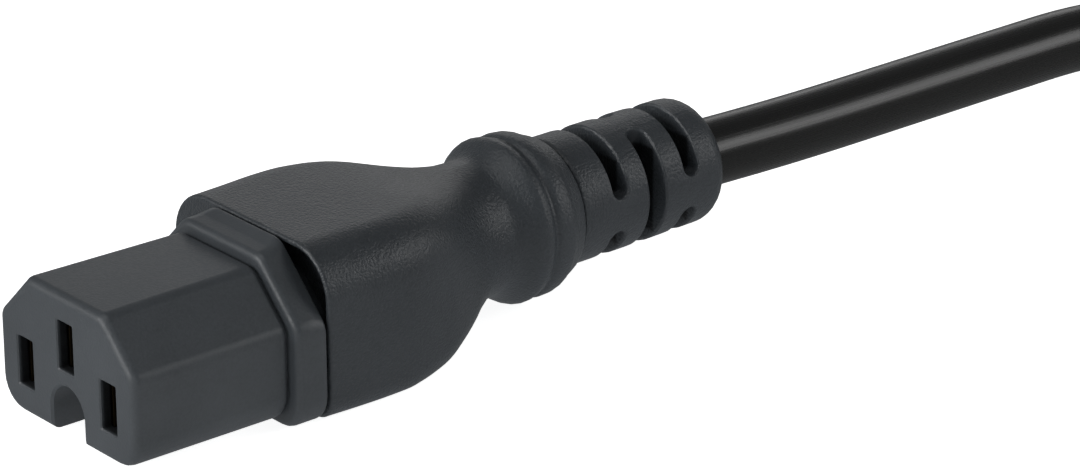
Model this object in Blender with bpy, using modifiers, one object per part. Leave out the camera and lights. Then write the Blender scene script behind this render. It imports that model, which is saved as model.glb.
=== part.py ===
"""Power cord with a notched hot-condition appliance connector (IEC 60320 C15).

Run with: blender --background --python part.py

The frame is Z up, in metres. The connector lies on its flat underside at z = 0,
its mating face looks along -Y and its cord leaves along +Y. X runs across it.
The cord is straight past the connector, comes down to the floor, and is put away
as a tied hank with the plug lying on it.
"""

import math

import bmesh
import bpy
from mathutils import Matrix, Vector

MM = 0.001

# Clearances
TOUCH_GAP = 0.3 * MM
CUT_PAST = 2.0 * MM

# Steps of rounded edges
FRONT_STEPS = 3

# Moulded insert: nose, flange and the spigot inside the grip
NOSE_WIDTH = 23.0 * MM
NOSE_HEIGHT = 15.5 * MM
NOSE_LENGTH = 18.7 * MM
NOSE_BOTTOM_Z = 0.9 * MM
NOSE_CHAMFER = 5.2 * MM
NOSE_CORNER_RADIUS = 3.6 * MM
NOSE_RIDGE_RADIUS = 1.1 * MM
NOSE_EDGE_RADIUS = 1.0 * MM
FLANGE_STEP = 1.4 * MM
FLANGE_DROP = 0.4 * MM
FLANGE_CHAMFER = 6.6 * MM
FLANGE_THICKNESS = 3.7 * MM
FLANGE_CORNER_RADIUS = 3.3 * MM
SPIGOT_INSET = 2.2 * MM
SPIGOT_LENGTH = 9.0 * MM

# Mating holes, on the IEC 60320 sheet for a C15
PIN_PITCH = 14.0 * MM
EARTH_RISE = 4.0 * MM
PIN_ROW_Z = 6.7 * MM
SLOT_WIDTH = 2.6 * MM
SLOT_HEIGHT = 5.3 * MM
SLOT_LIP = 1.2 * MM
CAVITY_WIDTH = 4.0 * MM
CAVITY_HEIGHT = 6.4 * MM
CAVITY_DEPTH = 16.5 * MM
NOTCH_WIDTH = 5.4 * MM
NOTCH_TOP_Z = 6.4 * MM

# Contacts
CONTACT_SHEET = 0.5 * MM
CONTACT_LENGTH = 14.5 * MM

# Overmoulded grip
GRIP_WIDTH = 25.8 * MM
GRIP_HEIGHT = 18.2 * MM
GRIP_LENGTH = 30.0 * MM
GRIP_TOP_RADIUS = 5.5 * MM
GRIP_LOW_RADIUS = 2.8 * MM
GRIP_EDGE_RADIUS = 0.7 * MM
WAIST_RADIUS = 7.35 * MM
POCKET_RIM = 1.0 * MM
POCKET_DEPTH = 2.4 * MM

# Collars and strain relief, turned about the cord's axis
AXIS_Z = 9.3 * MM
BALL_RADIUS = 9.0 * MM
BALL_LENGTH = 5.2 * MM
BALL_CROWN_BACK = 1.2 * MM
BALL_FOOT = 1.0 * MM
BALL_FULLNESS = 0.8
BALL_STEPS = 6
GROOVE_DEPTH = 0.5 * MM
GROOVE_WIDTH = 0.3 * MM
SHOULDER_FALL = 0.15 * MM
COLLAR_RADIUS = 8.8 * MM
COLLAR_END_RADIUS = 7.6 * MM
COLLAR_LENGTH = 5.1 * MM
COLLAR_CREST = 1.0 * MM
COLLAR_CONE = 2.5 * MM
CREASE_DEPTH = 0.3 * MM
CREASE_WIDTH = 0.5 * MM
RELIEF_RADIUS = 7.0 * MM
RELIEF_LENGTH = 20.5 * MM
RELIEF_TAPER = 0.25 * MM
RELIEF_END_RADIUS = 2.2 * MM
SEAT_DEPTH = 2.3 * MM
SLOT_ROWS = 3
SLOT_ROW_PITCH = 4.95 * MM
SLOT_ROW_START = 5.3 * MM
RELIEF_SLOT = 2.1 * MM
SLOT_ARC = math.radians(129)
SLOT_STEPS = 14
SLOT_END_STEPS = 4
SIDE_BRIDGE = math.radians(-5)

# Cord
CORD_DIAMETER = 7.4 * MM
CORD_SEGMENTS = 3
CORD_STEP = 2.1

# Hank of put-away cord, and its tie
HANK_WIDTH = 64.0 * MM
HANK_LENGTH = 146.0 * MM
HANK_HEIGHT = 21.6 * MM
HANK_X = -14.0 * MM
HANK_START_Y = 133.0 * MM
TIE_WIDTH = 20.0 * MM
TIE_THICKNESS = 1.2 * MM

# Plug on the far end, to the NEMA 5-15P sheet, lying on the hank and facing away
PLUG_X = 6.5 * MM
PLUG_REAR_FROM_HANK = 41.0 * MM
PLUG_WIDTH = 26.0 * MM
PLUG_HEIGHT = 25.0 * MM
PLUG_FLAT_LENGTH = 12.0 * MM
PLUG_BODY_LENGTH = 36.0 * MM
PLUG_RELIEF_LENGTH = 17.0 * MM
PLUG_RELIEF_RADIUS = 5.7 * MM
PLUG_NECK_RADIUS = 6.3 * MM
PLUG_CORNER_RADIUS = 4.5 * MM
PLUG_EDGE_RADIUS = 0.8 * MM
PLUG_AXIS_RISE = 11.0 * MM
PLUG_BORE_SHARE = 0.6
BLADE_SPACING = 12.7 * MM
BLADE_THICKNESS = 1.5 * MM
BLADE_WIDTH = 6.3 * MM
BLADE_LENGTH = 18.0 * MM
BLADE_RISE = 7.4 * MM
BLADE_SEAT = 8.0 * MM
BLADE_EDGE = 0.45 * MM
EARTH_PIN_DIAMETER = 4.8 * MM
EARTH_PIN_LENGTH = 21.0 * MM
EARTH_PIN_OFFSET = 11.9 * MM
EARTH_PIN_EDGE = 0.85 * MM

# Worked out from the sizes above
CONNECTOR_LENGTH = (
    NOSE_LENGTH + FLANGE_THICKNESS + TOUCH_GAP + GRIP_LENGTH
    + BALL_LENGTH + COLLAR_LENGTH + RELIEF_LENGTH - SEAT_DEPTH
)
FACE_Y = -CONNECTOR_LENGTH / 2
GRIP_FRONT = NOSE_LENGTH + FLANGE_THICKNESS + TOUCH_GAP
TURNED_START = GRIP_FRONT + GRIP_LENGTH - SEAT_DEPTH
RELIEF_START = TURNED_START + BALL_LENGTH + COLLAR_LENGTH
BORE_RADIUS = CORD_DIAMETER / 2 + TOUCH_GAP
PLUG_BOTTOM = HANK_HEIGHT + TOUCH_GAP
PLUG_AXIS_Z = PLUG_BOTTOM + PLUG_AXIS_RISE
PLUG_REAR_Y = HANK_START_Y + PLUG_REAR_FROM_HANK
PLUG_FACE_Y = PLUG_REAR_Y + PLUG_RELIEF_LENGTH + PLUG_BODY_LENGTH

# Shares of the way from the grip's front to the waist, read off the photograph:
# along the grip, width kept, top fallen, bottom risen, top corner and low corner rounded
GRIP_SHAPE = [
    (0.24, 0.99, 0.00, 0.00, 0.00, 0.01),
    (0.34, 0.97, 0.02, 0.00, 0.00, 0.03),
    (0.43, 0.90, 0.06, 0.01, 0.00, 0.07),
    (0.51, 0.79, 0.14, 0.03, 0.05, 0.13),
    (0.58, 0.68, 0.32, 0.09, 0.22, 0.22),
    (0.65, 0.53, 0.59, 0.21, 0.38, 0.33),
    (0.73, 0.33, 0.85, 0.46, 0.70, 0.46),
    (0.80, 0.15, 0.98, 0.83, 0.82, 0.66),
    (0.88, 0.04, 1.00, 0.98, 0.93, 0.86),
    (1.02, 0.00, 1.00, 1.00, 1.00, 1.00),
]

# Shares of the plug's body from its flat front to its neck, in the same order
PLUG_SHAPE = [
    (0.40, 0.84, 0.16, 0.03, 0.10, 0.05),
    (0.70, 0.36, 0.58, 0.30, 0.50, 0.35),
    (1.00, 0.00, 1.00, 1.00, 1.00, 1.00),
]

# The cord's routes, chosen by hand, in millimetres
LEAD_ROUTE = [
    (0.0, 23.0, 9.3),
    (0.0, 30.0, 9.3),
    (0.0, 37.0, 9.25),
    (0.0, 44.0, 9.05),
    (0.0, 51.0, 8.8),
    (0.0, 60.0, 8.6),
    (0.0, 74.0, 8.5),
    (0.0, 88.0, 8.4),
    (0.1, 99.0, 8.25),
    (0.9, 108.0, 7.55),
    (2.5, 118.0, 6.0),
    (5.1, 128.0, 4.4),
    (7.2, 134.3, 3.78),
    (8.2, 137.3, 3.7),
]
TAIL_ROUTE = [
    (-42.0, 180.0, 25.5),
    (-42.0, 172.0, 25.5),
    (-41.6, 163.5, 25.6),
    (-39.5, 155.0, 26.0),
    (-34.8, 147.4, 26.8),
    (-27.8, 142.2, 28.0),
    (-19.6, 139.9, 29.3),
    (-11.2, 140.4, 30.5),
    (-3.6, 143.9, 31.6),
    (2.2, 149.8, 32.4),
    (5.6, 157.4, 32.8),
    (6.4, 165.6, 32.9),
    (6.5, 173.8, 32.9),
    (6.5, 182.4, 32.9),
]

COLOURS = {
    "insert_plastic": ((0.050, 0.056, 0.062), 0.50, 0.0),
    "grip_plastic": ((0.046, 0.052, 0.058), 0.58, 0.0),
    "brass": ((0.62, 0.46, 0.20), 0.30, 1.0),
    "cord_sheath": ((0.012, 0.012, 0.012), 0.28, 0.0),
    "tie_fabric": ((0.020, 0.020, 0.022), 0.85, 0.0),
    "plug_plastic": ((0.020, 0.020, 0.022), 0.50, 0.0),
    "nickel": ((0.66, 0.64, 0.60), 0.25, 1.0),
}


def clear_scene():
    for obj in list(bpy.data.objects):
        bpy.data.objects.remove(obj, do_unlink=True)


def new_collection(name, hidden=False):
    collection = bpy.data.collections.new(name)
    bpy.context.scene.collection.children.link(collection)
    collection.hide_render = hidden
    return collection


def new_material(name):
    colour, roughness, metallic = COLOURS[name]
    material = bpy.data.materials.new(name)
    material.use_nodes = True
    shader = material.node_tree.nodes["Principled BSDF"]
    shader.inputs["Base Color"].default_value = (*colour, 1.0)
    shader.inputs["Roughness"].default_value = roughness
    shader.inputs["Metallic"].default_value = metallic
    material.diffuse_color = (*colour, 1.0)
    return material


def add_object(name, data, collection, material=None):
    """An object around some mesh or curve data, in one collection."""
    obj = bpy.data.objects.new(name, data)
    collection.objects.link(obj)
    if material is not None:
        data.materials.append(material)
    return obj


def hide_cutter(obj):
    obj.hide_render = True
    obj.display_type = "WIRE"
    return obj


def rounded(corners, radii, steps=6):
    """The points of a closed outline whose corners are arcs of the given radii."""
    points = []
    count = len(corners)
    for i, (corner, radius) in enumerate(zip(corners, radii)):
        here = Vector(corner)
        back = (Vector(corners[i - 1]) - here).normalized()
        ahead = (Vector(corners[(i + 1) % count]) - here).normalized()
        half = back.angle(ahead) / 2
        reach = radius / math.tan(half)
        centre = here + (back + ahead).normalized() * radius / math.sin(half)
        first = here + back * reach - centre
        turn = math.pi - 2 * half
        side = math.copysign(1.0, back.y * ahead.x - back.x * ahead.y)
        for k in range(steps + 1):
            angle = side * turn * k / steps
            spun = Matrix.Rotation(angle, 2) @ first
            points.append(tuple(centre + spun))
    return points


def arc(across, along, reach, start, stop, steps):
    """Points on an arc about (across, along), from one angle to another in degrees."""
    points = []
    for k in range(steps + 1):
        angle = math.radians(start + (stop - start) * k / steps)
        points.append((across + reach * math.cos(angle), along + reach * math.sin(angle)))
    return points


def flat_curve(name, points, thickness):
    """A flat closed outline, extruded by half its thickness each way."""
    curve = bpy.data.curves.new(name, "CURVE")
    curve.dimensions = "2D"
    curve.fill_mode = "BOTH"
    curve.extrude = thickness / 2
    spline = curve.splines.new("POLY")
    spline.points.add(len(points) - 1)
    for place, (x, y) in zip(spline.points, points):
        place.co = (x, y, 0.0, 1.0)
    spline.use_cyclic_u = True
    return curve


def as_mesh(obj, material=None):
    """Replaces a curve object with the closed mesh that it makes."""
    bpy.context.view_layer.update()
    graph = bpy.context.evaluated_depsgraph_get()
    mesh = bpy.data.meshes.new_from_object(obj.evaluated_get(graph))
    welded = bmesh.new()
    welded.from_mesh(mesh)
    bmesh.ops.remove_doubles(welded, verts=welded.verts, dist=1e-6)
    bmesh.ops.recalc_face_normals(welded, faces=welded.faces)
    welded.to_mesh(mesh)
    welded.free()
    name = obj.name
    collection = obj.users_collection[0]
    place = obj.matrix_world.copy()
    bpy.data.objects.remove(obj, do_unlink=True)
    made = add_object(name, mesh, collection)
    made.matrix_world = place
    if material is not None:
        mesh.materials.clear()
        mesh.materials.append(material)
    return made


def prism_along_y(name, outline, front, back, collection, material=None):
    """A prism of an (x, z) outline, from front to back along Y."""
    obj = add_object(name, flat_curve(name, outline, back - front), collection)
    obj.rotation_euler = (math.pi / 2, 0.0, 0.0)
    obj.location = (0.0, (front + back) / 2, 0.0)
    return as_mesh(obj, material)


def prism_along_z(name, outline, bottom, top, collection, material=None):
    """A prism of an (x, y) outline, from bottom to top along Z."""
    obj = add_object(name, flat_curve(name, outline, top - bottom), collection)
    obj.location = (0.0, 0.0, (bottom + top) / 2)
    return as_mesh(obj, material)


def box(name, size, centre, collection, material=None):
    mesh = bpy.data.meshes.new(name)
    made = bmesh.new()
    bmesh.ops.create_cube(made, size=1.0, matrix=Matrix.Diagonal((*size, 1.0)))
    made.to_mesh(mesh)
    made.free()
    obj = add_object(name, mesh, collection, material)
    obj.location = centre
    return obj


def cylinder(name, radius, length, centre, direction, collection, material=None, sides=32):
    """A closed cylinder whose axis lies along a direction."""
    mesh = bpy.data.meshes.new(name)
    made = bmesh.new()
    bmesh.ops.create_cone(
        made, cap_ends=True, segments=sides, radius1=radius, radius2=radius, depth=length
    )
    made.to_mesh(mesh)
    made.free()
    obj = add_object(name, mesh, collection, material)
    obj.rotation_euler = Vector(direction).to_track_quat("Z", "Y").to_euler()
    obj.location = centre
    return obj


def turned(name, profile, centre, collection, material=None, steps=48):
    """A (radius, y) profile turned about an axis along Y through the centre."""
    mesh = bpy.data.meshes.new(name)
    outline = bmesh.new()
    corners = [outline.verts.new((radius, 0.0, along)) for radius, along in profile]
    for first, second in zip(corners, corners[1:]):
        outline.edges.new((first, second))
    outline.to_mesh(mesh)
    outline.free()
    obj = add_object(name, mesh, collection, material)
    screw = obj.modifiers.new("turn", "SCREW")
    screw.angle = 2 * math.pi
    screw.steps = steps
    screw.render_steps = steps
    screw.use_merge_vertices = True
    screw.merge_threshold = 1e-6
    screw.use_normal_calculate = True
    obj.rotation_euler = (-math.pi / 2, 0.0, 0.0)
    obj.location = centre
    return obj


def boolean(obj, other, operation="DIFFERENCE", solver="EXACT"):
    modifier = obj.modifiers.new(other.name, "BOOLEAN")
    modifier.operation = operation
    modifier.object = other
    modifier.solver = solver


def apply_modifiers(obj):
    """Bakes an object's modifiers into its mesh, in place."""
    bpy.context.view_layer.update()
    graph = bpy.context.evaluated_depsgraph_get()
    mesh = bpy.data.meshes.new_from_object(obj.evaluated_get(graph))
    flat = bmesh.new()
    flat.from_mesh(mesh)
    bmesh.ops.triangulate(flat, faces=flat.faces)
    flat.to_mesh(mesh)
    flat.free()
    obj.modifiers.clear()
    obj.data = mesh


def insert_outline(half, bottom, top, slant, low_radius):
    """An outline in (x, z), chamfered above and rounded below."""
    corners = [
        (-half, bottom),
        (half, bottom),
        (half, top - slant),
        (half - slant, top),
        (-half + slant, top),
        (-half, top - slant),
    ]
    ridge = NOSE_RIDGE_RADIUS
    return rounded(corners, [low_radius, low_radius, ridge, ridge, ridge, ridge])


def nose_outline(grow=0.0):
    """The nose's outline, offset outwards all round."""
    slant = NOSE_CHAMFER + grow * (2 - math.sqrt(2))
    top = NOSE_BOTTOM_Z + NOSE_HEIGHT
    return insert_outline(
        NOSE_WIDTH / 2 + grow, NOSE_BOTTOM_Z - grow, top + grow, slant, NOSE_CORNER_RADIUS + grow
    )


def flange_outline():
    """The flange's outline, flush with the grip below and a little lower above."""
    return insert_outline(
        NOSE_WIDTH / 2 + FLANGE_STEP, 0.0, GRIP_HEIGHT - FLANGE_DROP, FLANGE_CHAMFER,
        FLANGE_CORNER_RADIUS,
    )


def grip_outline(inset):
    """The front of the grip in (x, z), drawn in by an inset."""
    half = GRIP_WIDTH / 2 - inset
    top = GRIP_HEIGHT - inset
    corners = [(-half, inset), (half, inset), (half, top), (-half, top)]
    low, high = GRIP_LOW_RADIUS - inset, GRIP_TOP_RADIUS - inset
    return rounded(corners, [low, low, high, high])


def pin_places():
    """The name and (x, z) place of each pole, seen on the mating face."""
    return {
        "line": (PIN_PITCH / 2, PIN_ROW_Z),
        "neutral": (-PIN_PITCH / 2, PIN_ROW_Z),
        "earth": (0.0, PIN_ROW_Z + EARTH_RISE),
    }


def build_carrier(parts, cutters, material):
    """The moulded insert, with its slots, cavities and keying notch."""
    flange_back = NOSE_LENGTH + FLANGE_THICKNESS
    carrier = prism_along_y(
        "contact_carrier", nose_outline(), FACE_Y, FACE_Y + NOSE_LENGTH + TOUCH_GAP, parts, material
    )
    edge = carrier.modifiers.new("front_edge", "BEVEL")
    edge.width = NOSE_EDGE_RADIUS
    edge.segments = 3
    edge.limit_method = "ANGLE"
    edge.angle_limit = math.radians(60)
    edge.use_clamp_overlap = True
    flange = prism_along_y(
        "flange", flange_outline(), FACE_Y + NOSE_LENGTH, FACE_Y + flange_back, cutters
    )
    spigot = prism_along_y(
        "spigot", nose_outline(-SPIGOT_INSET),
        FACE_Y + flange_back - TOUCH_GAP, FACE_Y + flange_back + SPIGOT_LENGTH, cutters,
    )
    boolean(carrier, hide_cutter(flange), "UNION")
    boolean(carrier, hide_cutter(spigot), "UNION")
    for name, (x, z) in pin_places().items():
        mouth = box(
            name + "_mouth", (SLOT_WIDTH, 2 * (SLOT_LIP + CUT_PAST), SLOT_HEIGHT),
            (x, FACE_Y, z), cutters,
        )
        cavity = box(
            name + "_cavity", (CAVITY_WIDTH, CAVITY_DEPTH, CAVITY_HEIGHT),
            (x, FACE_Y + SLOT_LIP + CAVITY_DEPTH / 2, z), cutters,
        )
        boolean(carrier, hide_cutter(mouth))
        boolean(carrier, hide_cutter(cavity))
    half = NOTCH_WIDTH / 2
    below = NOSE_BOTTOM_Z - CUT_PAST
    notch_outline = [(-half, below), (half, below)]
    notch_outline += arc(0.0, NOTCH_TOP_Z - half, half, 0, 180, 12)
    notch = prism_along_y(
        "notch", notch_outline, FACE_Y - CUT_PAST, FACE_Y + NOSE_LENGTH, cutters
    )
    boolean(carrier, hide_cutter(notch))


def build_contacts(parts, material):
    """A folded brass clip in each cavity, open towards the face."""
    width = CAVITY_WIDTH - 2 * TOUCH_GAP
    height = CAVITY_HEIGHT - 2 * TOUCH_GAP
    half = width / 2
    front = FACE_Y + SLOT_LIP + TOUCH_GAP
    back = front + CONTACT_LENGTH
    for name, (x, z) in pin_places().items():
        outline = [
            (x - half, front),
            (x - half + CONTACT_SHEET, front),
            (x - half + CONTACT_SHEET, back - CONTACT_SHEET),
            (x + half - CONTACT_SHEET, back - CONTACT_SHEET),
            (x + half - CONTACT_SHEET, front),
            (x + half, front),
            (x + half, back),
            (x - half, back),
        ]
        prism_along_z(
            name + "_contact", outline, z - height / 2, z + height / 2, parts, material
        )


def narrowing(start, end, length, shape):
    """Sections that change from a squarish one to a round one, as a table of shares says.

    A section is its distance, half width, top, bottom, top corner and low corner.
    """
    sections = []
    for along, width, fall, rise, high, low in shape:
        shares = (1 - width, fall, rise, high, low)
        row = [before + (after - before) * share for before, after, share in zip(start, end, shares)]
        sections.append((along * length, *row))
    return sections


def eased_front(front, edge):
    """Sections that round the front edge over in a quarter circle, up to the full one."""
    half, top, bottom, high, low = front
    sections = []
    for k in range(FRONT_STEPS + 1):
        angle = math.pi / 2 * k / FRONT_STEPS
        inset = edge * (1 - math.sin(angle))
        along = edge * (1 - math.cos(angle))
        sections.append((along, half - inset, top - inset, bottom + inset, high - inset, low - inset))
    return sections


def grip_stations():
    """Sections of the grip from its front to the waist."""
    front = (GRIP_WIDTH / 2, GRIP_HEIGHT, 0.0, GRIP_TOP_RADIUS, GRIP_LOW_RADIUS)
    waist = (WAIST_RADIUS, AXIS_Z + WAIST_RADIUS, AXIS_Z - WAIST_RADIUS, WAIST_RADIUS, WAIST_RADIUS)
    return eased_front(front, GRIP_EDGE_RADIUS) + narrowing(front, waist, GRIP_LENGTH, GRIP_SHAPE)


def smooth_between(stations, count):
    """Sections read from a smooth curve through the stations, without overshoot."""
    slopes = []
    for i in range(len(stations)):
        if i in (0, len(stations) - 1):
            slopes.append([0.0] * len(stations[0]))
            continue
        before, here, after = stations[i - 1], stations[i], stations[i + 1]
        row = []
        for k in range(len(here)):
            left = (here[k] - before[k]) / (here[0] - before[0])
            right = (after[k] - here[k]) / (after[0] - here[0])
            row.append(2 * left * right / (left + right) if left * right > 0 else 0.0)
        slopes.append(row)
    sections = []
    for i in range(len(stations) - 1):
        first, second = stations[i], stations[i + 1]
        span = second[0] - first[0]
        for j in range(count):
            t = j / count
            blend = (
                2 * t ** 3 - 3 * t ** 2 + 1, t ** 3 - 2 * t ** 2 + t,
                -2 * t ** 3 + 3 * t ** 2, t ** 3 - t ** 2,
            )
            row = [first[0] + t * span]
            for k in range(1, len(first)):
                row.append(
                    blend[0] * first[k] + blend[1] * span * slopes[i][k]
                    + blend[2] * second[k] + blend[3] * span * slopes[i + 1][k]
                )
            sections.append(tuple(row))
    sections.append(stations[-1])
    return sections


def squarish_ring(half, top, bottom, high, low, steps):
    """The (x, z) points of a rectangle with two round top corners and two round low ones."""
    high = min(high, half, (top - bottom) / 2)
    low = min(low, half, (top - bottom) / 2)
    points = arc(half - high, top - high, high, 0, 90, steps)
    points += arc(-half + high, top - high, high, 90, 180, steps)
    points += arc(-half + low, bottom + low, low, 180, 270, steps)
    return points + arc(half - low, bottom + low, low, 270, 360, steps)


def loft(name, sections, centre_x, front_y, collection, material=None, steps=9, backwards=False):
    """A closed skin over squarish sections that start at front_y."""
    mesh = bpy.data.meshes.new(name)
    skin = bmesh.new()
    sign = -1.0 if backwards else 1.0
    rings = []
    for along, *section in sections:
        points = squarish_ring(*section, steps)
        rings.append([skin.verts.new((centre_x + x, front_y + sign * along, z)) for x, z in points])
    sides = len(rings[0])
    for first, second in zip(rings, rings[1:]):
        for k in range(sides):
            after = (k + 1) % sides
            skin.faces.new((first[k], second[k], second[after], first[after]))
    skin.faces.new(rings[0])
    skin.faces.new(reversed(rings[-1]))
    bmesh.ops.remove_doubles(skin, verts=skin.verts, dist=1e-6)
    bmesh.ops.recalc_face_normals(skin, faces=skin.faces)
    bmesh.ops.triangulate(skin, faces=skin.faces)
    skin.to_mesh(mesh)
    skin.free()
    return add_object(name, mesh, collection, material)


def ball_profile(ball_end):
    """The round bulge behind the waist, from its far side to its near side: radius, y."""
    swell = BALL_RADIUS - WAIST_RADIUS
    crown = ball_end - BALL_CROWN_BACK
    foot = TURNED_START + BALL_FOOT
    profile = [
        (BALL_RADIUS - GROOVE_DEPTH, ball_end),
        (BALL_RADIUS - SHOULDER_FALL, ball_end - GROOVE_WIDTH),
    ]
    for k in range(BALL_STEPS + 1):
        share = math.pi / 2 * k / BALL_STEPS
        radius = WAIST_RADIUS + swell * math.cos(share) ** BALL_FULLNESS
        profile.append((radius, crown - (crown - foot) * math.sin(share)))
    return profile


def collar_profile(ball_end):
    """The collar between the ball's groove and the relief's crease: radius, y."""
    return [
        (COLLAR_END_RADIUS, RELIEF_START - CREASE_WIDTH / 2),
        (COLLAR_RADIUS - SHOULDER_FALL, ball_end + COLLAR_CONE),
        (COLLAR_RADIUS, ball_end + COLLAR_CREST),
        (COLLAR_RADIUS - SHOULDER_FALL, ball_end + GROOVE_WIDTH),
    ]


def relief_profile():
    """The outside of the collars and the relief, from the cord's end to the grip: radius, y."""
    end = CONNECTOR_LENGTH
    curl = RELIEF_END_RADIUS
    ball_end = TURNED_START + BALL_LENGTH
    profile = [(0.0, end)]
    profile += arc(RELIEF_RADIUS - RELIEF_TAPER - curl, end - curl, curl, 90, 0, 6)
    profile += [(RELIEF_RADIUS, RELIEF_START + CREASE_WIDTH), (RELIEF_RADIUS - CREASE_DEPTH, RELIEF_START)]
    profile += collar_profile(ball_end) + ball_profile(ball_end)
    return profile + [(WAIST_RADIUS - CREASE_DEPTH, TURNED_START), (0.0, TURNED_START)]


def slot_cutter(name, along, middle, cutters):
    """A round-ended slot bent about the cord's axis: a loft of upright sections along its arc."""
    inner = CORD_DIAMETER / 2 - TOUCH_GAP
    outer = RELIEF_RADIUS + CUT_PAST
    half = RELIEF_SLOT / 2
    round_angle = half / RELIEF_RADIUS
    angles = []
    for k in range(SLOT_END_STEPS):
        share = math.sin(math.pi / 2 * (k + 0.5) / SLOT_END_STEPS)
        angles.append((SLOT_ARC / 2 + round_angle * math.sqrt(1 - share ** 2), half * share))
    ends = [(-angle, reach) for angle, reach in angles]
    straight = [(-SLOT_ARC / 2 + SLOT_ARC * k / SLOT_STEPS, half) for k in range(SLOT_STEPS + 1)]
    mesh = bpy.data.meshes.new(name)
    skin = bmesh.new()
    rings = []
    for angle, reach in ends + straight + list(reversed(angles)):
        across, up = math.cos(middle + angle), math.sin(middle + angle)
        ring = []
        for radius, side in ((inner, -1), (outer, -1), (outer, 1), (inner, 1)):
            place = (radius * across, FACE_Y + along + side * reach, AXIS_Z + radius * up)
            ring.append(skin.verts.new(place))
        rings.append(ring)
    for first, second in zip(rings, rings[1:]):
        for k in range(4):
            after = (k + 1) % 4
            skin.faces.new((first[k], second[k], second[after], first[after]))
    skin.faces.new(rings[0])
    skin.faces.new(reversed(rings[-1]))
    bmesh.ops.recalc_face_normals(skin, faces=skin.faces)
    bmesh.ops.triangulate(skin, faces=skin.faces)
    skin.to_mesh(mesh)
    skin.free()
    return add_object(name, mesh, cutters)


def relief_slots(cutters):
    """Cutters for the rows of slots: two long arcs a row, every second row turned by a quarter."""
    made = []
    for row in range(SLOT_ROWS):
        along = RELIEF_START + SLOT_ROW_START + row * SLOT_ROW_PITCH
        bridge = SIDE_BRIDGE if row % 2 == 0 else SIDE_BRIDGE + math.pi / 2
        for side in (0, 1):
            middle = bridge + math.pi / 2 + side * math.pi
            made.append(slot_cutter(f"relief_slot_{row}_{side}", along, middle, cutters))
    return made


def build_overmould(parts, cutters, material):
    """The grip, its collars and its slotted strain relief, moulded as one piece."""
    grip = loft(
        "overmould_body", smooth_between(grip_stations(), 4), 0.0, FACE_Y + GRIP_FRONT, parts, material
    )
    tail = turned(
        "collars_and_relief", relief_profile(), (0.0, FACE_Y, AXIS_Z), cutters, steps=48
    )
    apply_modifiers(tail)
    boolean(grip, hide_cutter(tail), "UNION")
    pocket = prism_along_y(
        "front_pocket", grip_outline(POCKET_RIM),
        FACE_Y + GRIP_FRONT - CUT_PAST, FACE_Y + GRIP_FRONT + POCKET_DEPTH, cutters,
    )
    socket = prism_along_y(
        "spigot_socket", nose_outline(TOUCH_GAP - SPIGOT_INSET),
        FACE_Y + GRIP_FRONT, FACE_Y + GRIP_FRONT + SPIGOT_LENGTH, cutters,
    )
    bore = cylinder(
        "cord_bore", BORE_RADIUS, RELIEF_LENGTH + CUT_PAST,
        (0.0, FACE_Y + RELIEF_START + (RELIEF_LENGTH + CUT_PAST) / 2, AXIS_Z), (0.0, 1.0, 0.0), cutters,
    )
    for cutter in (pocket, socket, bore, *relief_slots(cutters)):
        boolean(grip, hide_cutter(cutter), solver="MANIFOLD")
    apply_modifiers(grip)


def spline_through(route, step):
    """Points on a smooth curve through the route, a step of the route's spacing apart."""
    points = []
    count = len(route)
    for i in range(count - 1):
        p0 = Vector(route[max(i - 1, 0)])
        p1, p2 = Vector(route[i]), Vector(route[i + 1])
        p3 = Vector(route[min(i + 2, count - 1)])
        pieces = max(1, round((p2 - p1).length / (step * CORD_DIAMETER / MM)))
        for k in range(pieces):
            t = k / pieces
            points.append(
                0.5 * (2 * p1 + (p2 - p0) * t + (2 * p0 - 5 * p1 + 4 * p2 - p3) * t ** 2
                       + (3 * p1 - p0 - 3 * p2 + p3) * t ** 3)
            )
    points.append(Vector(route[-1]))
    return [point * MM for point in points]


def build_tube(name, route, parts, material):
    """A stretch of cord as a bevelled curve with filled caps."""
    curve = bpy.data.curves.new(name, "CURVE")
    curve.dimensions = "3D"
    curve.bevel_depth = CORD_DIAMETER / 2
    curve.bevel_resolution = CORD_SEGMENTS
    curve.use_fill_caps = True
    points = spline_through(route, CORD_STEP)
    spline = curve.splines.new("POLY")
    spline.points.add(len(points) - 1)
    for place, point in zip(spline.points, points):
        place.co = (*point, 1.0)
    add_object(name, curve, parts, material)


def stadium(width, length, steps=12):
    """A closed outline with round ends, its long way along Y, about its middle."""
    radius = width / 2
    reach = length / 2 - radius
    points = []
    for k in range(steps + 1):
        angle = math.pi * k / steps
        points.append((radius * math.cos(angle), reach + radius * math.sin(angle)))
    for k in range(steps + 1):
        angle = math.pi + math.pi * k / steps
        points.append((radius * math.cos(angle), -reach + radius * math.sin(angle)))
    return points


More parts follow.
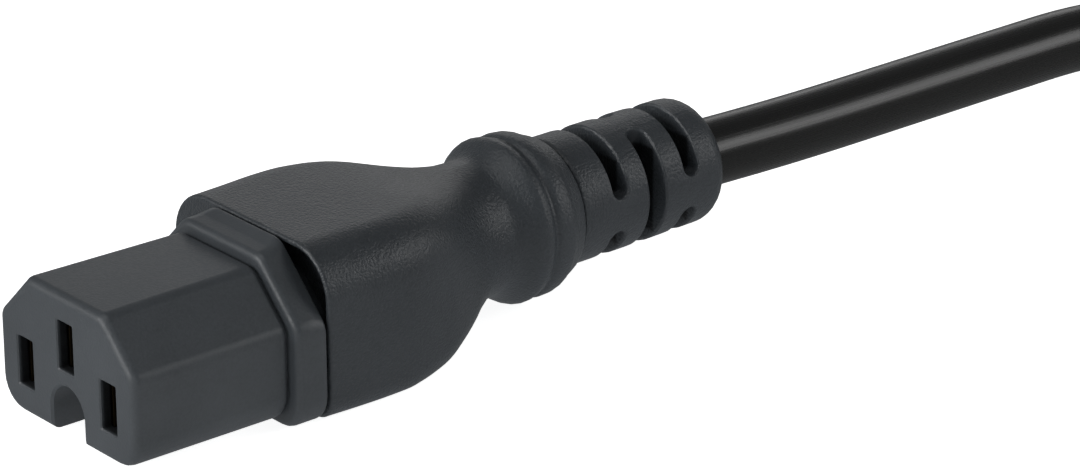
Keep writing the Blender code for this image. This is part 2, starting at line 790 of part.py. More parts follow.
def build_hank(parts, cutters, cord_material, tie_material):
    """The outer shape of the folded cord, with a groove for the tie, and the tie."""
    middle_y = HANK_START_Y + HANK_LENGTH / 2
    outline = [(x + HANK_X, y + middle_y) for x, y in stadium(HANK_WIDTH, HANK_LENGTH)]
    hank = prism_along_z("cord_hank", outline, 0.0, HANK_HEIGHT, parts, cord_material)
    groove = TIE_THICKNESS + 2 * TOUCH_GAP
    groove_width = TIE_WIDTH + 2 * TOUCH_GAP
    around = box(
        "tie_groove", (HANK_WIDTH + CUT_PAST, groove_width, HANK_HEIGHT + CUT_PAST),
        (HANK_X, middle_y, HANK_HEIGHT / 2), cutters,
    )
    kept = box(
        "tie_groove_core",
        (HANK_WIDTH - 2 * groove, groove_width + CUT_PAST, HANK_HEIGHT - 2 * groove),
        (HANK_X, middle_y, HANK_HEIGHT / 2), cutters,
    )
    boolean(around, hide_cutter(kept))
    apply_modifiers(around)
    boolean(hank, hide_cutter(around))
    tie = box(
        "hank_tie",
        (HANK_WIDTH - 2 * TOUCH_GAP, TIE_WIDTH, HANK_HEIGHT - 2 * TOUCH_GAP),
        (HANK_X, middle_y, HANK_HEIGHT / 2), parts, tie_material,
    )
    hole = box(
        "tie_hole",
        (
            HANK_WIDTH - 2 * TOUCH_GAP - 2 * TIE_THICKNESS,
            TIE_WIDTH + CUT_PAST,
            HANK_HEIGHT - 2 * TOUCH_GAP - 2 * TIE_THICKNESS,
        ),
        (HANK_X, middle_y, HANK_HEIGHT / 2), cutters,
    )
    boolean(tie, hide_cutter(hole))


def plug_stations():
    """Sections of the plug from its face to the end of its relief."""
    top = PLUG_BOTTOM + PLUG_HEIGHT
    corner = PLUG_CORNER_RADIUS
    neck = PLUG_NECK_RADIUS
    front = (PLUG_WIDTH / 2, top, PLUG_BOTTOM, corner, corner)
    back = (neck, PLUG_AXIS_Z + neck, PLUG_AXIS_Z - neck, neck, neck)
    sections = eased_front(front, PLUG_EDGE_RADIUS) + [(PLUG_FLAT_LENGTH, *front)]
    for along, *section in narrowing(front, back, PLUG_BODY_LENGTH - PLUG_FLAT_LENGTH, PLUG_SHAPE):
        sections.append((PLUG_FLAT_LENGTH + along, *section))
    end = PLUG_BODY_LENGTH + PLUG_RELIEF_LENGTH
    for along, radius in (
        (end - PLUG_EDGE_RADIUS, PLUG_RELIEF_RADIUS),
        (end, PLUG_RELIEF_RADIUS - PLUG_EDGE_RADIUS),
    ):
        sections.append((along, radius, PLUG_AXIS_Z + radius, PLUG_AXIS_Z - radius, radius, radius))
    return sections


def build_plug(parts, cutters, plastic, metal):
    """The moulded plug on the cord's far end, with its two blades and earth pin."""
    body = loft(
        "plug_body", smooth_between(plug_stations(), 3), PLUG_X, PLUG_FACE_Y, parts, plastic,
        steps=8, backwards=True,
    )
    entry = PLUG_RELIEF_LENGTH * PLUG_BORE_SHARE
    bore = cylinder(
        "plug_bore", BORE_RADIUS, entry + CUT_PAST,
        (PLUG_X, PLUG_REAR_Y + (entry - CUT_PAST) / 2, PLUG_AXIS_Z), (0.0, 1.0, 0.0), cutters,
    )
    boolean(body, hide_cutter(bore))
    blade_z = PLUG_BOTTOM + BLADE_RISE
    seat_length = BLADE_SEAT + CUT_PAST + TOUCH_GAP
    seat_y = PLUG_FACE_Y + CUT_PAST - seat_length / 2
    for name, side in (("plug_line_blade", -1), ("plug_neutral_blade", 1)):
        x = PLUG_X + side * BLADE_SPACING / 2
        length = BLADE_LENGTH + BLADE_SEAT
        centre = (x, PLUG_FACE_Y + BLADE_LENGTH - length / 2, blade_z)
        blade = box(name, (BLADE_THICKNESS, length, BLADE_WIDTH), centre, parts, metal)
        tip = blade.modifiers.new("edges", "BEVEL")
        tip.width = BLADE_EDGE
        tip.segments = 2
        seat_size = (BLADE_THICKNESS + 2 * TOUCH_GAP, seat_length, BLADE_WIDTH + 2 * TOUCH_GAP)
        seat = box(name + "_seat", seat_size, (x, seat_y, blade_z), cutters)
        boolean(body, hide_cutter(seat))
    pin_z = blade_z + EARTH_PIN_OFFSET
    radius = EARTH_PIN_DIAMETER / 2
    length = EARTH_PIN_LENGTH + BLADE_SEAT
    pin = cylinder(
        "plug_earth_pin", radius, length,
        (PLUG_X, PLUG_FACE_Y + EARTH_PIN_LENGTH - length / 2, pin_z), (0.0, 1.0, 0.0), parts, metal, sides=24,
    )
    tip = pin.modifiers.new("edges", "BEVEL")
    tip.width = EARTH_PIN_EDGE
    tip.segments = 3
    tip.limit_method = "ANGLE"
    tip.angle_limit = math.radians(60)
    seat = cylinder(
        "plug_earth_pin_seat", radius + TOUCH_GAP, seat_length,
        (PLUG_X, seat_y, pin_z), (0.0, 1.0, 0.0), cutters, sides=24,
    )
    boolean(body, hide_cutter(seat))


def main():
    clear_scene()
    parts = new_collection("power_cord")
    cutters = new_collection("cutters", hidden=True)
    materials = {name: new_material(name) for name in COLOURS}
    build_carrier(parts, cutters, materials["insert_plastic"])
    build_contacts(parts, materials["brass"])
    build_overmould(parts, cutters, materials["grip_plastic"])
    build_tube("cord_lead", LEAD_ROUTE, parts, materials["cord_sheath"])
    build_hank(parts, cutters, materials["cord_sheath"], materials["tie_fabric"])
    build_tube("cord_tail", TAIL_ROUTE, parts, materials["cord_sheath"])
    build_plug(parts, cutters, materials["plug_plastic"], materials["nickel"])


main()
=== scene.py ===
"""Power cord with a notched appliance connector, dressed for a studio picture.

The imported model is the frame. Every sub-assembly is a class that holds its sizes in millimetres,
works its surfaces out with numpy and dresses them. The connector lies along Y with its mating face
towards -Y. Its cord runs on along +Y to a tied hank with the plug lying on it.
"""

from __future__ import annotations

import logging
import math
from collections.abc import Callable
from dataclasses import dataclass, field, replace
from enum import Enum

import bmesh
import bpy
import numpy as np
from mathutils import Matrix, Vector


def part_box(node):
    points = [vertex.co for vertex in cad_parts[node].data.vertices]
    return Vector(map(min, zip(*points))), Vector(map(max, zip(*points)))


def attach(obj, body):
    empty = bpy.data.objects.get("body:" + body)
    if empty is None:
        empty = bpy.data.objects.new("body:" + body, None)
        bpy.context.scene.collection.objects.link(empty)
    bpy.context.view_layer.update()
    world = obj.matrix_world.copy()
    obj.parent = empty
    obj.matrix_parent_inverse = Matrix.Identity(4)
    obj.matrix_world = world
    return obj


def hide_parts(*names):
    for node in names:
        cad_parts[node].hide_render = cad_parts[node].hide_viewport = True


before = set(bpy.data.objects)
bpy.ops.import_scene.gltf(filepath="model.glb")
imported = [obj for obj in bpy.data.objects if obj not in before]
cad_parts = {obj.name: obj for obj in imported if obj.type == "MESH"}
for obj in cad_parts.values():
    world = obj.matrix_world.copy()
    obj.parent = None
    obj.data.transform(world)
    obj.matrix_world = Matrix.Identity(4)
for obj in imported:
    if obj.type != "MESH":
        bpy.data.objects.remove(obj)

Material = bpy.types.Material
Object = bpy.types.Object
Socket = bpy.types.NodeSocket

MM = 0.001
MERGE = 1e-7
SPAN_STEPS = 24
EDGE_STEPS = 6
FACE_WEIGHT = 60
# What a row of y and section gains for each millimetre that its outline shrinks
SHRINK = np.array([0.0, -1.0, -1.0, 1.0, -1.0, -1.0])
# How much longer a corner's 45 degree slant gets for each millimetre that its outline grows
SLANT_GAIN = 2 - math.sqrt(2)
log = logging.getLogger("power_cord")


# Curves and outlines


def unit(vectors: np.ndarray) -> np.ndarray:
    """Vectors scaled to a length of one along their last axis."""
    return vectors / np.linalg.norm(vectors, axis=-1, keepdims=True)


def columns(*parts: np.ndarray | float) -> np.ndarray:
    """Arrays and numbers side by side along a new last axis, each spread to the same shape."""
    return np.stack(np.broadcast_arrays(*parts), axis=-1)


def smoothstep(low: float, high: float, value: np.ndarray) -> np.ndarray:
    """0 below low, 1 above high, and 3t^2 - 2t^3 between them."""
    t = np.clip((value - low) / (high - low), 0.0, 1.0)
    return t * t * (3.0 - 2.0 * t)


def run_length(path: np.ndarray) -> np.ndarray:
    """How far along a path each of its points lies."""
    steps = np.linalg.norm(np.diff(path, axis=0), axis=1)
    return np.concatenate([[0.0], np.cumsum(steps)])


def evenly(points: np.ndarray, spacing: float) -> np.ndarray:
    """Points a fixed distance apart along a polyline.

    Args:
        points: the polyline, one row a point.
        spacing: the distance wanted between points.

    Returns:
        The new points, with the polyline's own ends.
    """
    reach = run_length(points)
    count = max(2, round(reach[-1] / spacing) + 1)
    at = np.linspace(0.0, reach[-1], count)
    return columns(*(np.interp(at, reach, column) for column in points.T))


def curve_through(rows: np.ndarray, spacing: float) -> np.ndarray:
    """Even points on the smooth curve through some rows.

    Each span is the cubic whose slope at a row is half the step from the row before to the row
    after (Catmull-Rom). The two ends are carried on straight.

    Args:
        rows: the points that the curve passes through.
        spacing: the distance between the points returned.

    Returns:
        The points on the curve.
    """
    padded = np.vstack([2 * rows[0] - rows[1], rows, 2 * rows[-1] - rows[-2]])
    before, first, second, after = padded[:-3], padded[1:-2], padded[2:-1], padded[3:]
    t = np.linspace(0.0, 1.0, SPAN_STEPS, endpoint=False)[:, None, None]
    spans = 0.5 * (
        2 * first
        + (second - before) * t
        + (2 * before - 5 * first + 4 * second - after) * t**2
        + (3 * first - before - 3 * second + after) * t**3
    )
    dense = spans.transpose(1, 0, 2).reshape(-1, rows.shape[1])
    return evenly(np.vstack([dense, rows[-1]]), spacing)


def eased(table: np.ndarray, pieces: int) -> np.ndarray:
    """Rows read between the rows of a table, smooth and with no overshoot.

    Between two rows each column is a cubic. Its slope at a row is the harmonic mean of the steps
    on the two sides, and zero where they differ in sign and at the table's ends.

    Args:
        table: the rows, all of one kind.
        pieces: how many steps to make between two rows.

    Returns:
        The rows of the table with the new ones between them.
    """
    step = np.diff(table, axis=0)
    product = step[:-1] * step[1:]
    total = step[:-1] + step[1:]
    inner = np.where(product > 0, 2 * product / np.where(total == 0, 1.0, total), 0.0)
    still = np.zeros_like(table[:1])
    slope = np.vstack([still, inner, still])
    t = (np.arange(pieces) / pieces)[:, None, None]
    rows = (
        (2 * t**3 - 3 * t**2 + 1) * table[:-1]
        + (t**3 - 2 * t**2 + t) * slope[:-1]
        + (3 * t**2 - 2 * t**3) * table[1:]
        + (t**3 - t**2) * slope[1:]
    )
    dense = rows.transpose(1, 0, 2).reshape(-1, table.shape[1])
    return np.vstack([dense, table[-1:]])


def cornered(corners: np.ndarray, radii: np.ndarray, steps: int) -> np.ndarray:
    """Closed outlines whose corners are arcs.

    The centre of an arc lies on its corner's bisector, radius / sin(half the angle) away, and the
    arc turns by pi less the corner's angle.

    Args:
        corners: (outlines, corners, 2), anticlockwise.
        radii: (outlines, corners).
        steps: how many steps each arc has.

    Returns:
        (outlines, points, 2).
    """
    back = unit(np.roll(corners, 1, axis=1) - corners)
    ahead = unit(np.roll(corners, -1, axis=1) - corners)
    half = np.arccos(np.clip((back * ahead).sum(-1), -1.0, 1.0)) / 2
    centre = corners + unit(back + ahead) * (radii / np.sin(half))[..., None]
    first = corners + back * (radii / np.tan(half))[..., None] - centre
    angle = (np.pi - 2 * half)[..., None] * np.arange(steps + 1) / steps
    x = first[..., 0:1] * np.cos(angle) - first[..., 1:2] * np.sin(angle)
    z = first[..., 0:1] * np.sin(angle) + first[..., 1:2] * np.cos(angle)
    points = centre[:, :, None, :] + columns(x, z)
    return points.reshape(len(corners), -1, 2)


def squarish(section: np.ndarray, corner: int = 10, side: int = 5) -> np.ndarray:
    """Closed outlines of rectangles with two round top corners and two round low ones.

    Args:
        section: rows of half width, top, bottom, top corners' radius and low corners' radius.
        corner: steps round each corner.
        side: points between two corners.

    Returns:
        (outlines, points, 2), as x and z.
    """
    half, top, bottom, high, low = section.T[:, :, None]
    most = np.minimum(half, (top - bottom) / 2)
    radius = np.concatenate([np.minimum(high, most)] * 2 + [np.minimum(low, most)] * 2, axis=1)
    middle_x = np.array([1, -1, -1, 1]) * (half - radius)
    middle_z = np.where([True, True, False, False], top - radius, bottom + radius)
    turn = np.pi / 2 * (np.arange(4)[:, None] + np.linspace(0.0, 1.0, corner + 1))
    arcs = columns(
        middle_x[..., None] + radius[..., None] * np.cos(turn),
        middle_z[..., None] + radius[..., None] * np.sin(turn),
    )
    ends = arcs[:, :, -1:, :]
    starts = np.roll(arcs[:, :, :1, :], -1, axis=1)
    share = (np.arange(1, side + 1) / (side + 1))[:, None]
    outline = np.concatenate([arcs, ends + (starts - ends) * share], axis=2)
    return outline.reshape(len(section), -1, 2)


def quarter(radius: float, steps: int = EDGE_STEPS) -> tuple[np.ndarray, np.ndarray]:
    """A rounded edge: r(1 - cos t), the way along it, and r(1 - sin t), how far it is sunk there."""
    t = np.linspace(0.0, np.pi / 2, steps)
    return radius * (1 - np.cos(t)), radius * (1 - np.sin(t))


def rounded_front(section: np.ndarray, start: float, edge: float) -> np.ndarray:
    """Rows of y and section that round a front edge off in a quarter circle.

    Args:
        section: a row of y and the full section.
        start: the front's y.
        edge: the quarter circle's radius.

    Returns:
        The front's rows.
    """
    along, sunk = quarter(edge)
    rows = section + SHRINK * sunk[:, None]
    rows[:, 0] = start + along
    return rows


def stacked(outlines: np.ndarray, along: np.ndarray, across: float = 0.0) -> np.ndarray:
    """(x, z) outlines set along Y, as a (rings, points, 3) grid."""
    return columns(outlines[..., 0] + across, along[:, None], outlines[..., 1])


# Meshes


def add_mesh(name: str, points: np.ndarray, faces: list[tuple[int, ...]]) -> Object:
    """A mesh object from points in millimetres, with its faces turned outwards.

    Args:
        name: the object's name.
        points: (points, 3), in millimetres.
        faces: the points of each face.

    Returns:
        The object, at the origin.
    """
    mesh = bpy.data.meshes.new(name)
    mesh.from_pydata((points * MM).tolist(), [], faces)
    tidy = bmesh.new()
    tidy.from_mesh(mesh)
    bmesh.ops.remove_doubles(tidy, verts=tidy.verts, dist=MERGE)
    bmesh.ops.recalc_face_normals(tidy, faces=tidy.faces)
    tidy.to_mesh(mesh)
    tidy.free()
    obj = bpy.data.objects.new(name, mesh)
    bpy.context.scene.collection.objects.link(obj)
    return obj


def ring_faces(rings: int, around: int, closed: bool = False) -> list[tuple[int, ...]]:
    """The quads between closed rings of points, and between the last and the first if closed."""
    index = np.arange(rings * around).reshape(rings, around)
    after = np.roll(index, -1, axis=1)
    if closed:
        upper, upper_after = np.roll(index, -1, axis=0), np.roll(after, -1, axis=0)
        quads = columns(index, after, upper_after, upper)
    else:
        quads = columns(index[:-1], after[:-1], after[1:], index[1:])
    return [tuple(face) for face in quads.reshape(-1, 4).tolist()]


def skin(name: str, grid: np.ndarray) -> Object:
    """A closed skin over a (rings, points, 3) grid, with a flat cap on each end."""
    rings, around = grid.shape[:2]
    faces = ring_faces(rings, around)
    faces += [tuple(range(around)), tuple(range((rings - 1) * around, rings * around))]
    return add_mesh(name, grid.reshape(-1, 3), faces)


def read_all(items: bpy.types.bpy_prop_collection, name: str) -> np.ndarray:
    """One whole number of every item in a mesh's collection."""
    values = np.empty(len(items), np.int32)
    items.foreach_get(name, values)
    return values


def corner_places(mesh: bpy.types.Mesh, around: int) -> tuple[np.ndarray, np.ndarray]:
    """The ring that each face corner's point lies on, and its place on it, from its index."""
    return np.divmod(read_all(mesh.loops, "vertex_index"), around)


def carve(obj: Object, cutters: list[Object]) -> None:
    """Cuts closed shapes out of a closed mesh, for good, and deletes them.

    Args:
        obj: the object that is cut.
        cutters: the closed shapes.
    """
    for cutter in cutters:
        modifier = obj.modifiers.new(cutter.name, "BOOLEAN")
        modifier.operation = "DIFFERENCE"
        modifier.solver = "MANIFOLD"
        modifier.object = cutter
    graph = bpy.context.evaluated_depsgraph_get()
    mesh = bpy.data.meshes.new_from_object(obj.evaluated_get(graph))
    obj.modifiers.clear()
    obj.data = mesh
    for cutter in cutters:
        bpy.data.objects.remove(cutter, do_unlink=True)


def soften(obj: Object, degrees: float = 32.0) -> None:
    """Smooth shading with sharp edges above an angle, and normals weighted by face area."""
    obj.data.shade_smooth()
    obj.data.set_sharp_from_angle(angle=math.radians(degrees))
    weighted = obj.modifiers.new("weighted_normals", "WEIGHTED_NORMAL")
    weighted.keep_sharp = True
    weighted.weight = FACE_WEIGHT


def settle(obj: Object, material: Material, slot: str, *nodes: str) -> None:
    """Gives a piece its finish and its place in the frame, and reports it.

    Args:
        obj: the piece.
        material: its finish.
        slot: the name of a material slot; not used.
        nodes: the CAD nodes that it stands for.
    """
    obj.data.materials.clear()
    obj.data.materials.append(material)
    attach(obj, "root")
    if nodes:
        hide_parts(*nodes)
    log.info("%s: %d faces", obj.name, len(obj.data.polygons))


# Shader arithmetic


def arithmetic(operation: str, swapped: bool = False) -> Callable[[Value, Value | float], Value]:
    """An operator of Value that adds a Math node, with its two terms swapped or not."""

    def operator(this: Value, other: Value | float) -> Value:
        """The Math node's value over the two terms."""
        return this.math(operation, *((other, this) if swapped else (this, other)))

    return operator


class Value:
    """A shader socket that carries a number. Each operator adds the Math node that works it out."""

    def __init__(self, tree: bpy.types.NodeTree, socket: Socket) -> None:
        """Wraps a socket of a tree."""
        self.tree = tree
        self.socket = socket

    def math(self, operation: str, *terms: Value | float) -> Value:
        """A Math node of the given operation over some terms."""
        node = self.tree.nodes.new("ShaderNodeMath")
        node.operation = operation
        for place, term in zip(node.inputs, terms):
            if isinstance(term, Value):
                self.tree.links.new(term.socket, place)
            else:
                place.default_value = term
        return Value(self.tree, node.outputs[0])

    __add__, __radd__ = arithmetic("ADD"), arithmetic("ADD", swapped=True)
    __sub__, __rsub__ = arithmetic("SUBTRACT"), arithmetic("SUBTRACT", swapped=True)
    __mul__, __rmul__ = arithmetic("MULTIPLY"), arithmetic("MULTIPLY", swapped=True)
    __truediv__ = arithmetic("DIVIDE")

    def sine(self) -> Value:
        """The sine of this."""
        return self.math("SINE", self)

    def size(self) -> Value:
        """This without its sign."""
        return self.math("ABSOLUTE", self)

    def over(self, edge: float, width: float) -> Value:
        """0 below an edge and 1 above it, over a width, held between 0 and 1."""
        ramp = (self - (edge - width / 2)) / width
        return ramp.math("MINIMUM", ramp.math("MAXIMUM", ramp, 0.0), 1.0)


class Space(Enum):
    """Which coordinates a pattern is laid out in."""

    OBJECT = "Object"
    SURFACE = "UV"


class Coat:
    """A material in the making: a Principled shader and what feeds it."""

    def __init__(self, name: str, colour: tuple[float, float, float], roughness: float) -> None:
        """A plain material of one linear colour and roughness."""
        self.material = bpy.data.materials.new(name)
        self.material.use_nodes = True
        self.tree = self.material.node_tree
        self.shader = self.tree.nodes["Principled BSDF"]
        self.shader.inputs["Base Color"].default_value = (*colour, 1.0)
        self.shader.inputs["Roughness"].default_value = roughness
        self.material.diffuse_color = (*colour, 1.0)

    def node(self, kind: str, settings: dict | None = None, **sockets) -> bpy.types.Node:
        """Adds a node.

        Args:
            kind: its type.
            settings: its properties, set first.
            sockets: a value, a Value or a socket for each input, by name with _ for a space.

        Returns:
            The node.
        """
        node = self.tree.nodes.new(kind)
        for key, value in (settings or {}).items():
            setattr(node, key, value)
        for key, value in sockets.items():
            self.feed(node.inputs[key.replace("_", " ")], value)
        return node

    def feed(self, place: Socket, value) -> None:
        """Links a socket or a Value to an input, or sets a plain value on it."""
        if isinstance(value, Value):
            value = value.socket
        if isinstance(value, Socket):
            self.tree.links.new(value, place)
        else:
            place.default_value = value

    def set(self, **inputs) -> Coat:
        """Sets or links inputs of the shader, by name with _ for a space."""
        for key, value in inputs.items():
            self.feed(self.shader.inputs[key.replace("_", " ")], value)
        return self

    def place(self, space: Space = Space.OBJECT, scale: tuple = (1.0, 1.0, 1.0)) -> Socket:
        """Coordinates in a space, scaled along each axis."""
        source = self.node("ShaderNodeTexCoord").outputs[space.value]
        return self.node("ShaderNodeMapping", Vector=source, Scale=scale).outputs["Vector"]

    def noise(self, vector: Socket, scale: float, detail: float = 2.0) -> Value:
        """A Noise texture's value, between about 0.25 and 0.75."""
        node = self.node("ShaderNodeTexNoise", Vector=vector, Scale=scale, Detail=detail)
        return Value(self.tree, node.outputs["Fac"])

    def axis(self, vector: Socket, name: str) -> Value:
        """One coordinate of a vector."""
        return Value(self.tree, self.node("ShaderNodeSeparateXYZ", Vector=vector).outputs[name])

    def blend(self, factor: Value | float, first: tuple, second: tuple) -> Socket:
        """A colour between two, by a factor."""
        mix = self.node("ShaderNodeMix", {"data_type": "RGBA"})
        self.feed(mix.inputs[0], factor)
        self.feed(mix.inputs[6], (*first, 1.0))
        self.feed(mix.inputs[7], (*second, 1.0))
        return mix.outputs[2]

    def shade(self, mask: Value, colour: Socket, least: float) -> Socket:
        """A colour times a number that falls from 1 to the least where the mask is 1."""
        level = 1 - mask * (1 - least)
        scaled = self.node("ShaderNodeVectorMath", {"operation": "SCALE"}, Vector=colour, Scale=level)
        return scaled.outputs[0]

    def bump(self, height: Value, depth: float, under: Socket | None = None) -> Socket:
        """A normal bent by a height, whose full range is depth metres deep."""
        node = self.node("ShaderNodeBump", Strength=1.0, Distance=depth, Height=height)
        if under is not None:
            self.feed(node.inputs["Normal"], under)
        return node.outputs["Normal"]


# Finishes


@dataclass(frozen=True)
class PaintedShadeBox:
    """A box, in millimetres, inside which a moulded part's colour is darkened as painted shade, such as
    the inside of a slot.
    """

    low: tuple[float, float, float]
    high: tuple[float, float, float]
    fade: float = 0.35

    def mask(self, coat: Coat, place: Socket) -> Value:
        """1 inside the box and 0 outside: the product of one ramp for each side's distance."""
        inside = None
        for axis, low, high in zip("XYZ", self.low, self.high):
            middle, half = (low + high) / 2 * MM, (high - low) / 2 * MM
            ramp = 1 - (coat.axis(place, axis) - middle).size().over(half, self.fade * MM)
            inside = ramp if inside is None else inside * ramp
        return inside


@dataclass(frozen=True)
class MouldedPlastic:
    """A moulded plastic with the mould's fine grain and a slow drift of colour and gloss."""

    name: str
    colour: tuple[float, float, float]
    roughness: float = 0.35
    grain: float = 3600.0
    grain_depth: float = 105e-6
    pebble: float = 900.0
    pebble_depth: float = 6e-6
    gloss: float = 0.5
    dark: float = 0.80
    light: float = 1.22
    # how far the colour falls inside the shade boxes: painted shade
    painted_shade_level: float = 0.2
    shade_boxes: tuple[PaintedShadeBox, ...] = ()

    def material(self) -> Material:
        """Colour and roughness drift over centimetres, and two sizes of grain bend the normal.

        The colour falls to the painted shade level inside the shade boxes, as painted shade in
        recesses.
        """
        coat = Coat(self.name, self.colour, self.roughness)
        place = coat.place()
        base = coat.node("ShaderNodeTexCoord").outputs[Space.OBJECT.value]
        drift = coat.noise(place, 90.0, 4.0)
        fine = coat.noise(place, self.grain, 3.0)
        pebble = coat.noise(place, self.pebble, 2.0)
        dark = tuple(self.dark * part for part in self.colour)
        light = tuple(self.light * part for part in self.colour)
        speck = fine.over(0.5, 0.30)
        colour = coat.blend(drift.over(0.5, 0.5) * 0.65 + speck * 0.35, dark, light)
        # painted shade: the colour is darkened inside each box, where a recess lies in shade
        for shade_box in self.shade_boxes:
            colour = coat.shade(shade_box.mask(coat, base), colour, self.painted_shade_level)
        coat.set(
            Base_Color=colour,
            Roughness=self.roughness + (drift - 0.5) * 0.16 + (speck - 0.5) * 0.10,
            Specular_IOR_Level=self.gloss,
            Normal=coat.bump(fine, self.grain_depth, coat.bump(pebble, self.pebble_depth)),
        )
        return coat.material


@dataclass(frozen=True)
class CordSheath:
    """A smooth extruded sheath: glossy, with faint lines drawn along it."""

    name: str = "cord_sheath_finish"
    colour: tuple[float, float, float] = (0.0065, 0.0065, 0.0060)
    roughness: float = 0.28

    def material(self) -> Material:
        """Lines stretched along the cord and a slow drift change the gloss and the normal."""
        coat = Coat(self.name, self.colour, self.roughness)
        lines = coat.noise(coat.place(Space.SURFACE, (90.0, 6.0, 1.0)), 1.0, 3.0)
        drift = coat.noise(coat.place(), 45.0, 2.0)
        light = tuple(1.35 * part for part in self.colour)
        coat.set(
            Base_Color=coat.blend(drift, self.colour, light),
            Roughness=self.roughness + (lines - 0.5) * 0.10 + (drift - 0.5) * 0.08,
            Normal=coat.bump(lines, 12e-6),
        )
        return coat.material


@dataclass(frozen=True)
class WovenStrap:
    """A black woven strap, with warp and weft threads and a little fuzz."""

    name: str = "tie_fabric_finish"
    colour: tuple[float, float, float] = (0.018, 0.018, 0.020)
    threads_along: float = 900.0
    threads_across: float = 26.0
    # painted shade and light: the colour runs from this dark dip colour between the threads to the
    # lighter ridge colour on their tops
    dip: tuple[float, float, float] = (0.008, 0.008, 0.009)
    ridge: tuple[float, float, float] = (0.034, 0.034, 0.037)

    def material(self) -> Material:
        """Two crossed sine ridges, one lifted where the other dips, make the weave, and the colour is
        darker in the dips as painted shade.
        """
        coat = Coat(self.name, self.colour, 0.85)
        place = coat.place(Space.SURFACE)
        along = (coat.axis(place, "Y") * (math.pi * self.threads_along)).sine()
        across = (coat.axis(place, "X") * (math.pi * self.threads_across)).sine()
        weave = (along * across).size()
        fuzz = coat.noise(coat.place(), 2500.0, 3.0)
        coat.set(
            # painted shade in the weave's dips, lighter on its ridges
            Base_Color=coat.blend(weave * 0.6 + fuzz * 0.4, self.dip, self.ridge),
            Roughness=0.95 - weave * 0.15,
            Sheen_Weight=0.35,
            Normal=coat.bump(weave + fuzz * 0.3, 120e-6),
        )
        return coat.material


@dataclass(frozen=True)
class PlatedMetal:
    """Rolled or plated metal with fine drawn lines and a few scuffs."""

    name: str
    colour: tuple[float, float, float]
    roughness: float = 0.26

    def material(self) -> Material:
        """Noise squeezed across Y makes lines along it, and a coarse one dulls patches."""
        coat = Coat(self.name, self.colour, self.roughness)
        lines = coat.noise(coat.place(scale=(1.0, 0.06, 1.0)), 5200.0, 2.0)
        patches = coat.noise(coat.place(), 240.0, 3.0)
        dull = tuple(0.8 * part for part in self.colour)
        coat.set(
            Base_Color=coat.blend(patches.over(0.55, 0.3), self.colour, dull),
            Metallic=1.0,
            Roughness=self.roughness + (lines - 0.5) * 0.16 + patches * 0.08,
            Normal=coat.bump(lines, 3e-6),
        )
        return coat.material


GRIP_FINISH = MouldedPlastic(
    "grip_plastic_finish",
    (0.033, 0.038, 0.043),
    # painted shade: the colour darkens inside the relief's bore, seen through its slots
    shade_boxes=(PaintedShadeBox((-4.7, 22.6, 4.65), (4.7, 39.8, 14.05)),),
)
INSERT_FINISH = MouldedPlastic(
    "insert_plastic_finish",
    (0.044, 0.050, 0.056),
    roughness=0.44,
    grain_depth=20e-6,
    pebble_depth=9e-6,
    # painted shade: the colour darkens inside the three contact slots and the cavities behind them
    shade_boxes=(
        PaintedShadeBox((5.5, -40.2, 3.8), (8.5, -22.0, 9.6), 0.2),
        PaintedShadeBox((-8.5, -40.2, 3.8), (-5.5, -22.0, 9.6), 0.2),
        PaintedShadeBox((-1.5, -40.2, 7.8), (1.5, -22.0, 13.6), 0.2),
    ),
)
PLUG_FINISH = MouldedPlastic(
    "plug_plastic_finish",
    (0.014, 0.014, 0.015),
    roughness=0.42,
    grain_depth=45e-6,
)
# painted shade: the brass colour is kept far darker than bright brass, as the contacts sit in the
# slots' shade
SHADED_BRASS_FINISH = PlatedMetal("shaded_brass_finish", (0.15, 0.112, 0.056), 0.48)
NICKEL_FINISH = PlatedMetal("nickel_finish", (0.66, 0.64, 0.60), 0.24)


# Shared forms


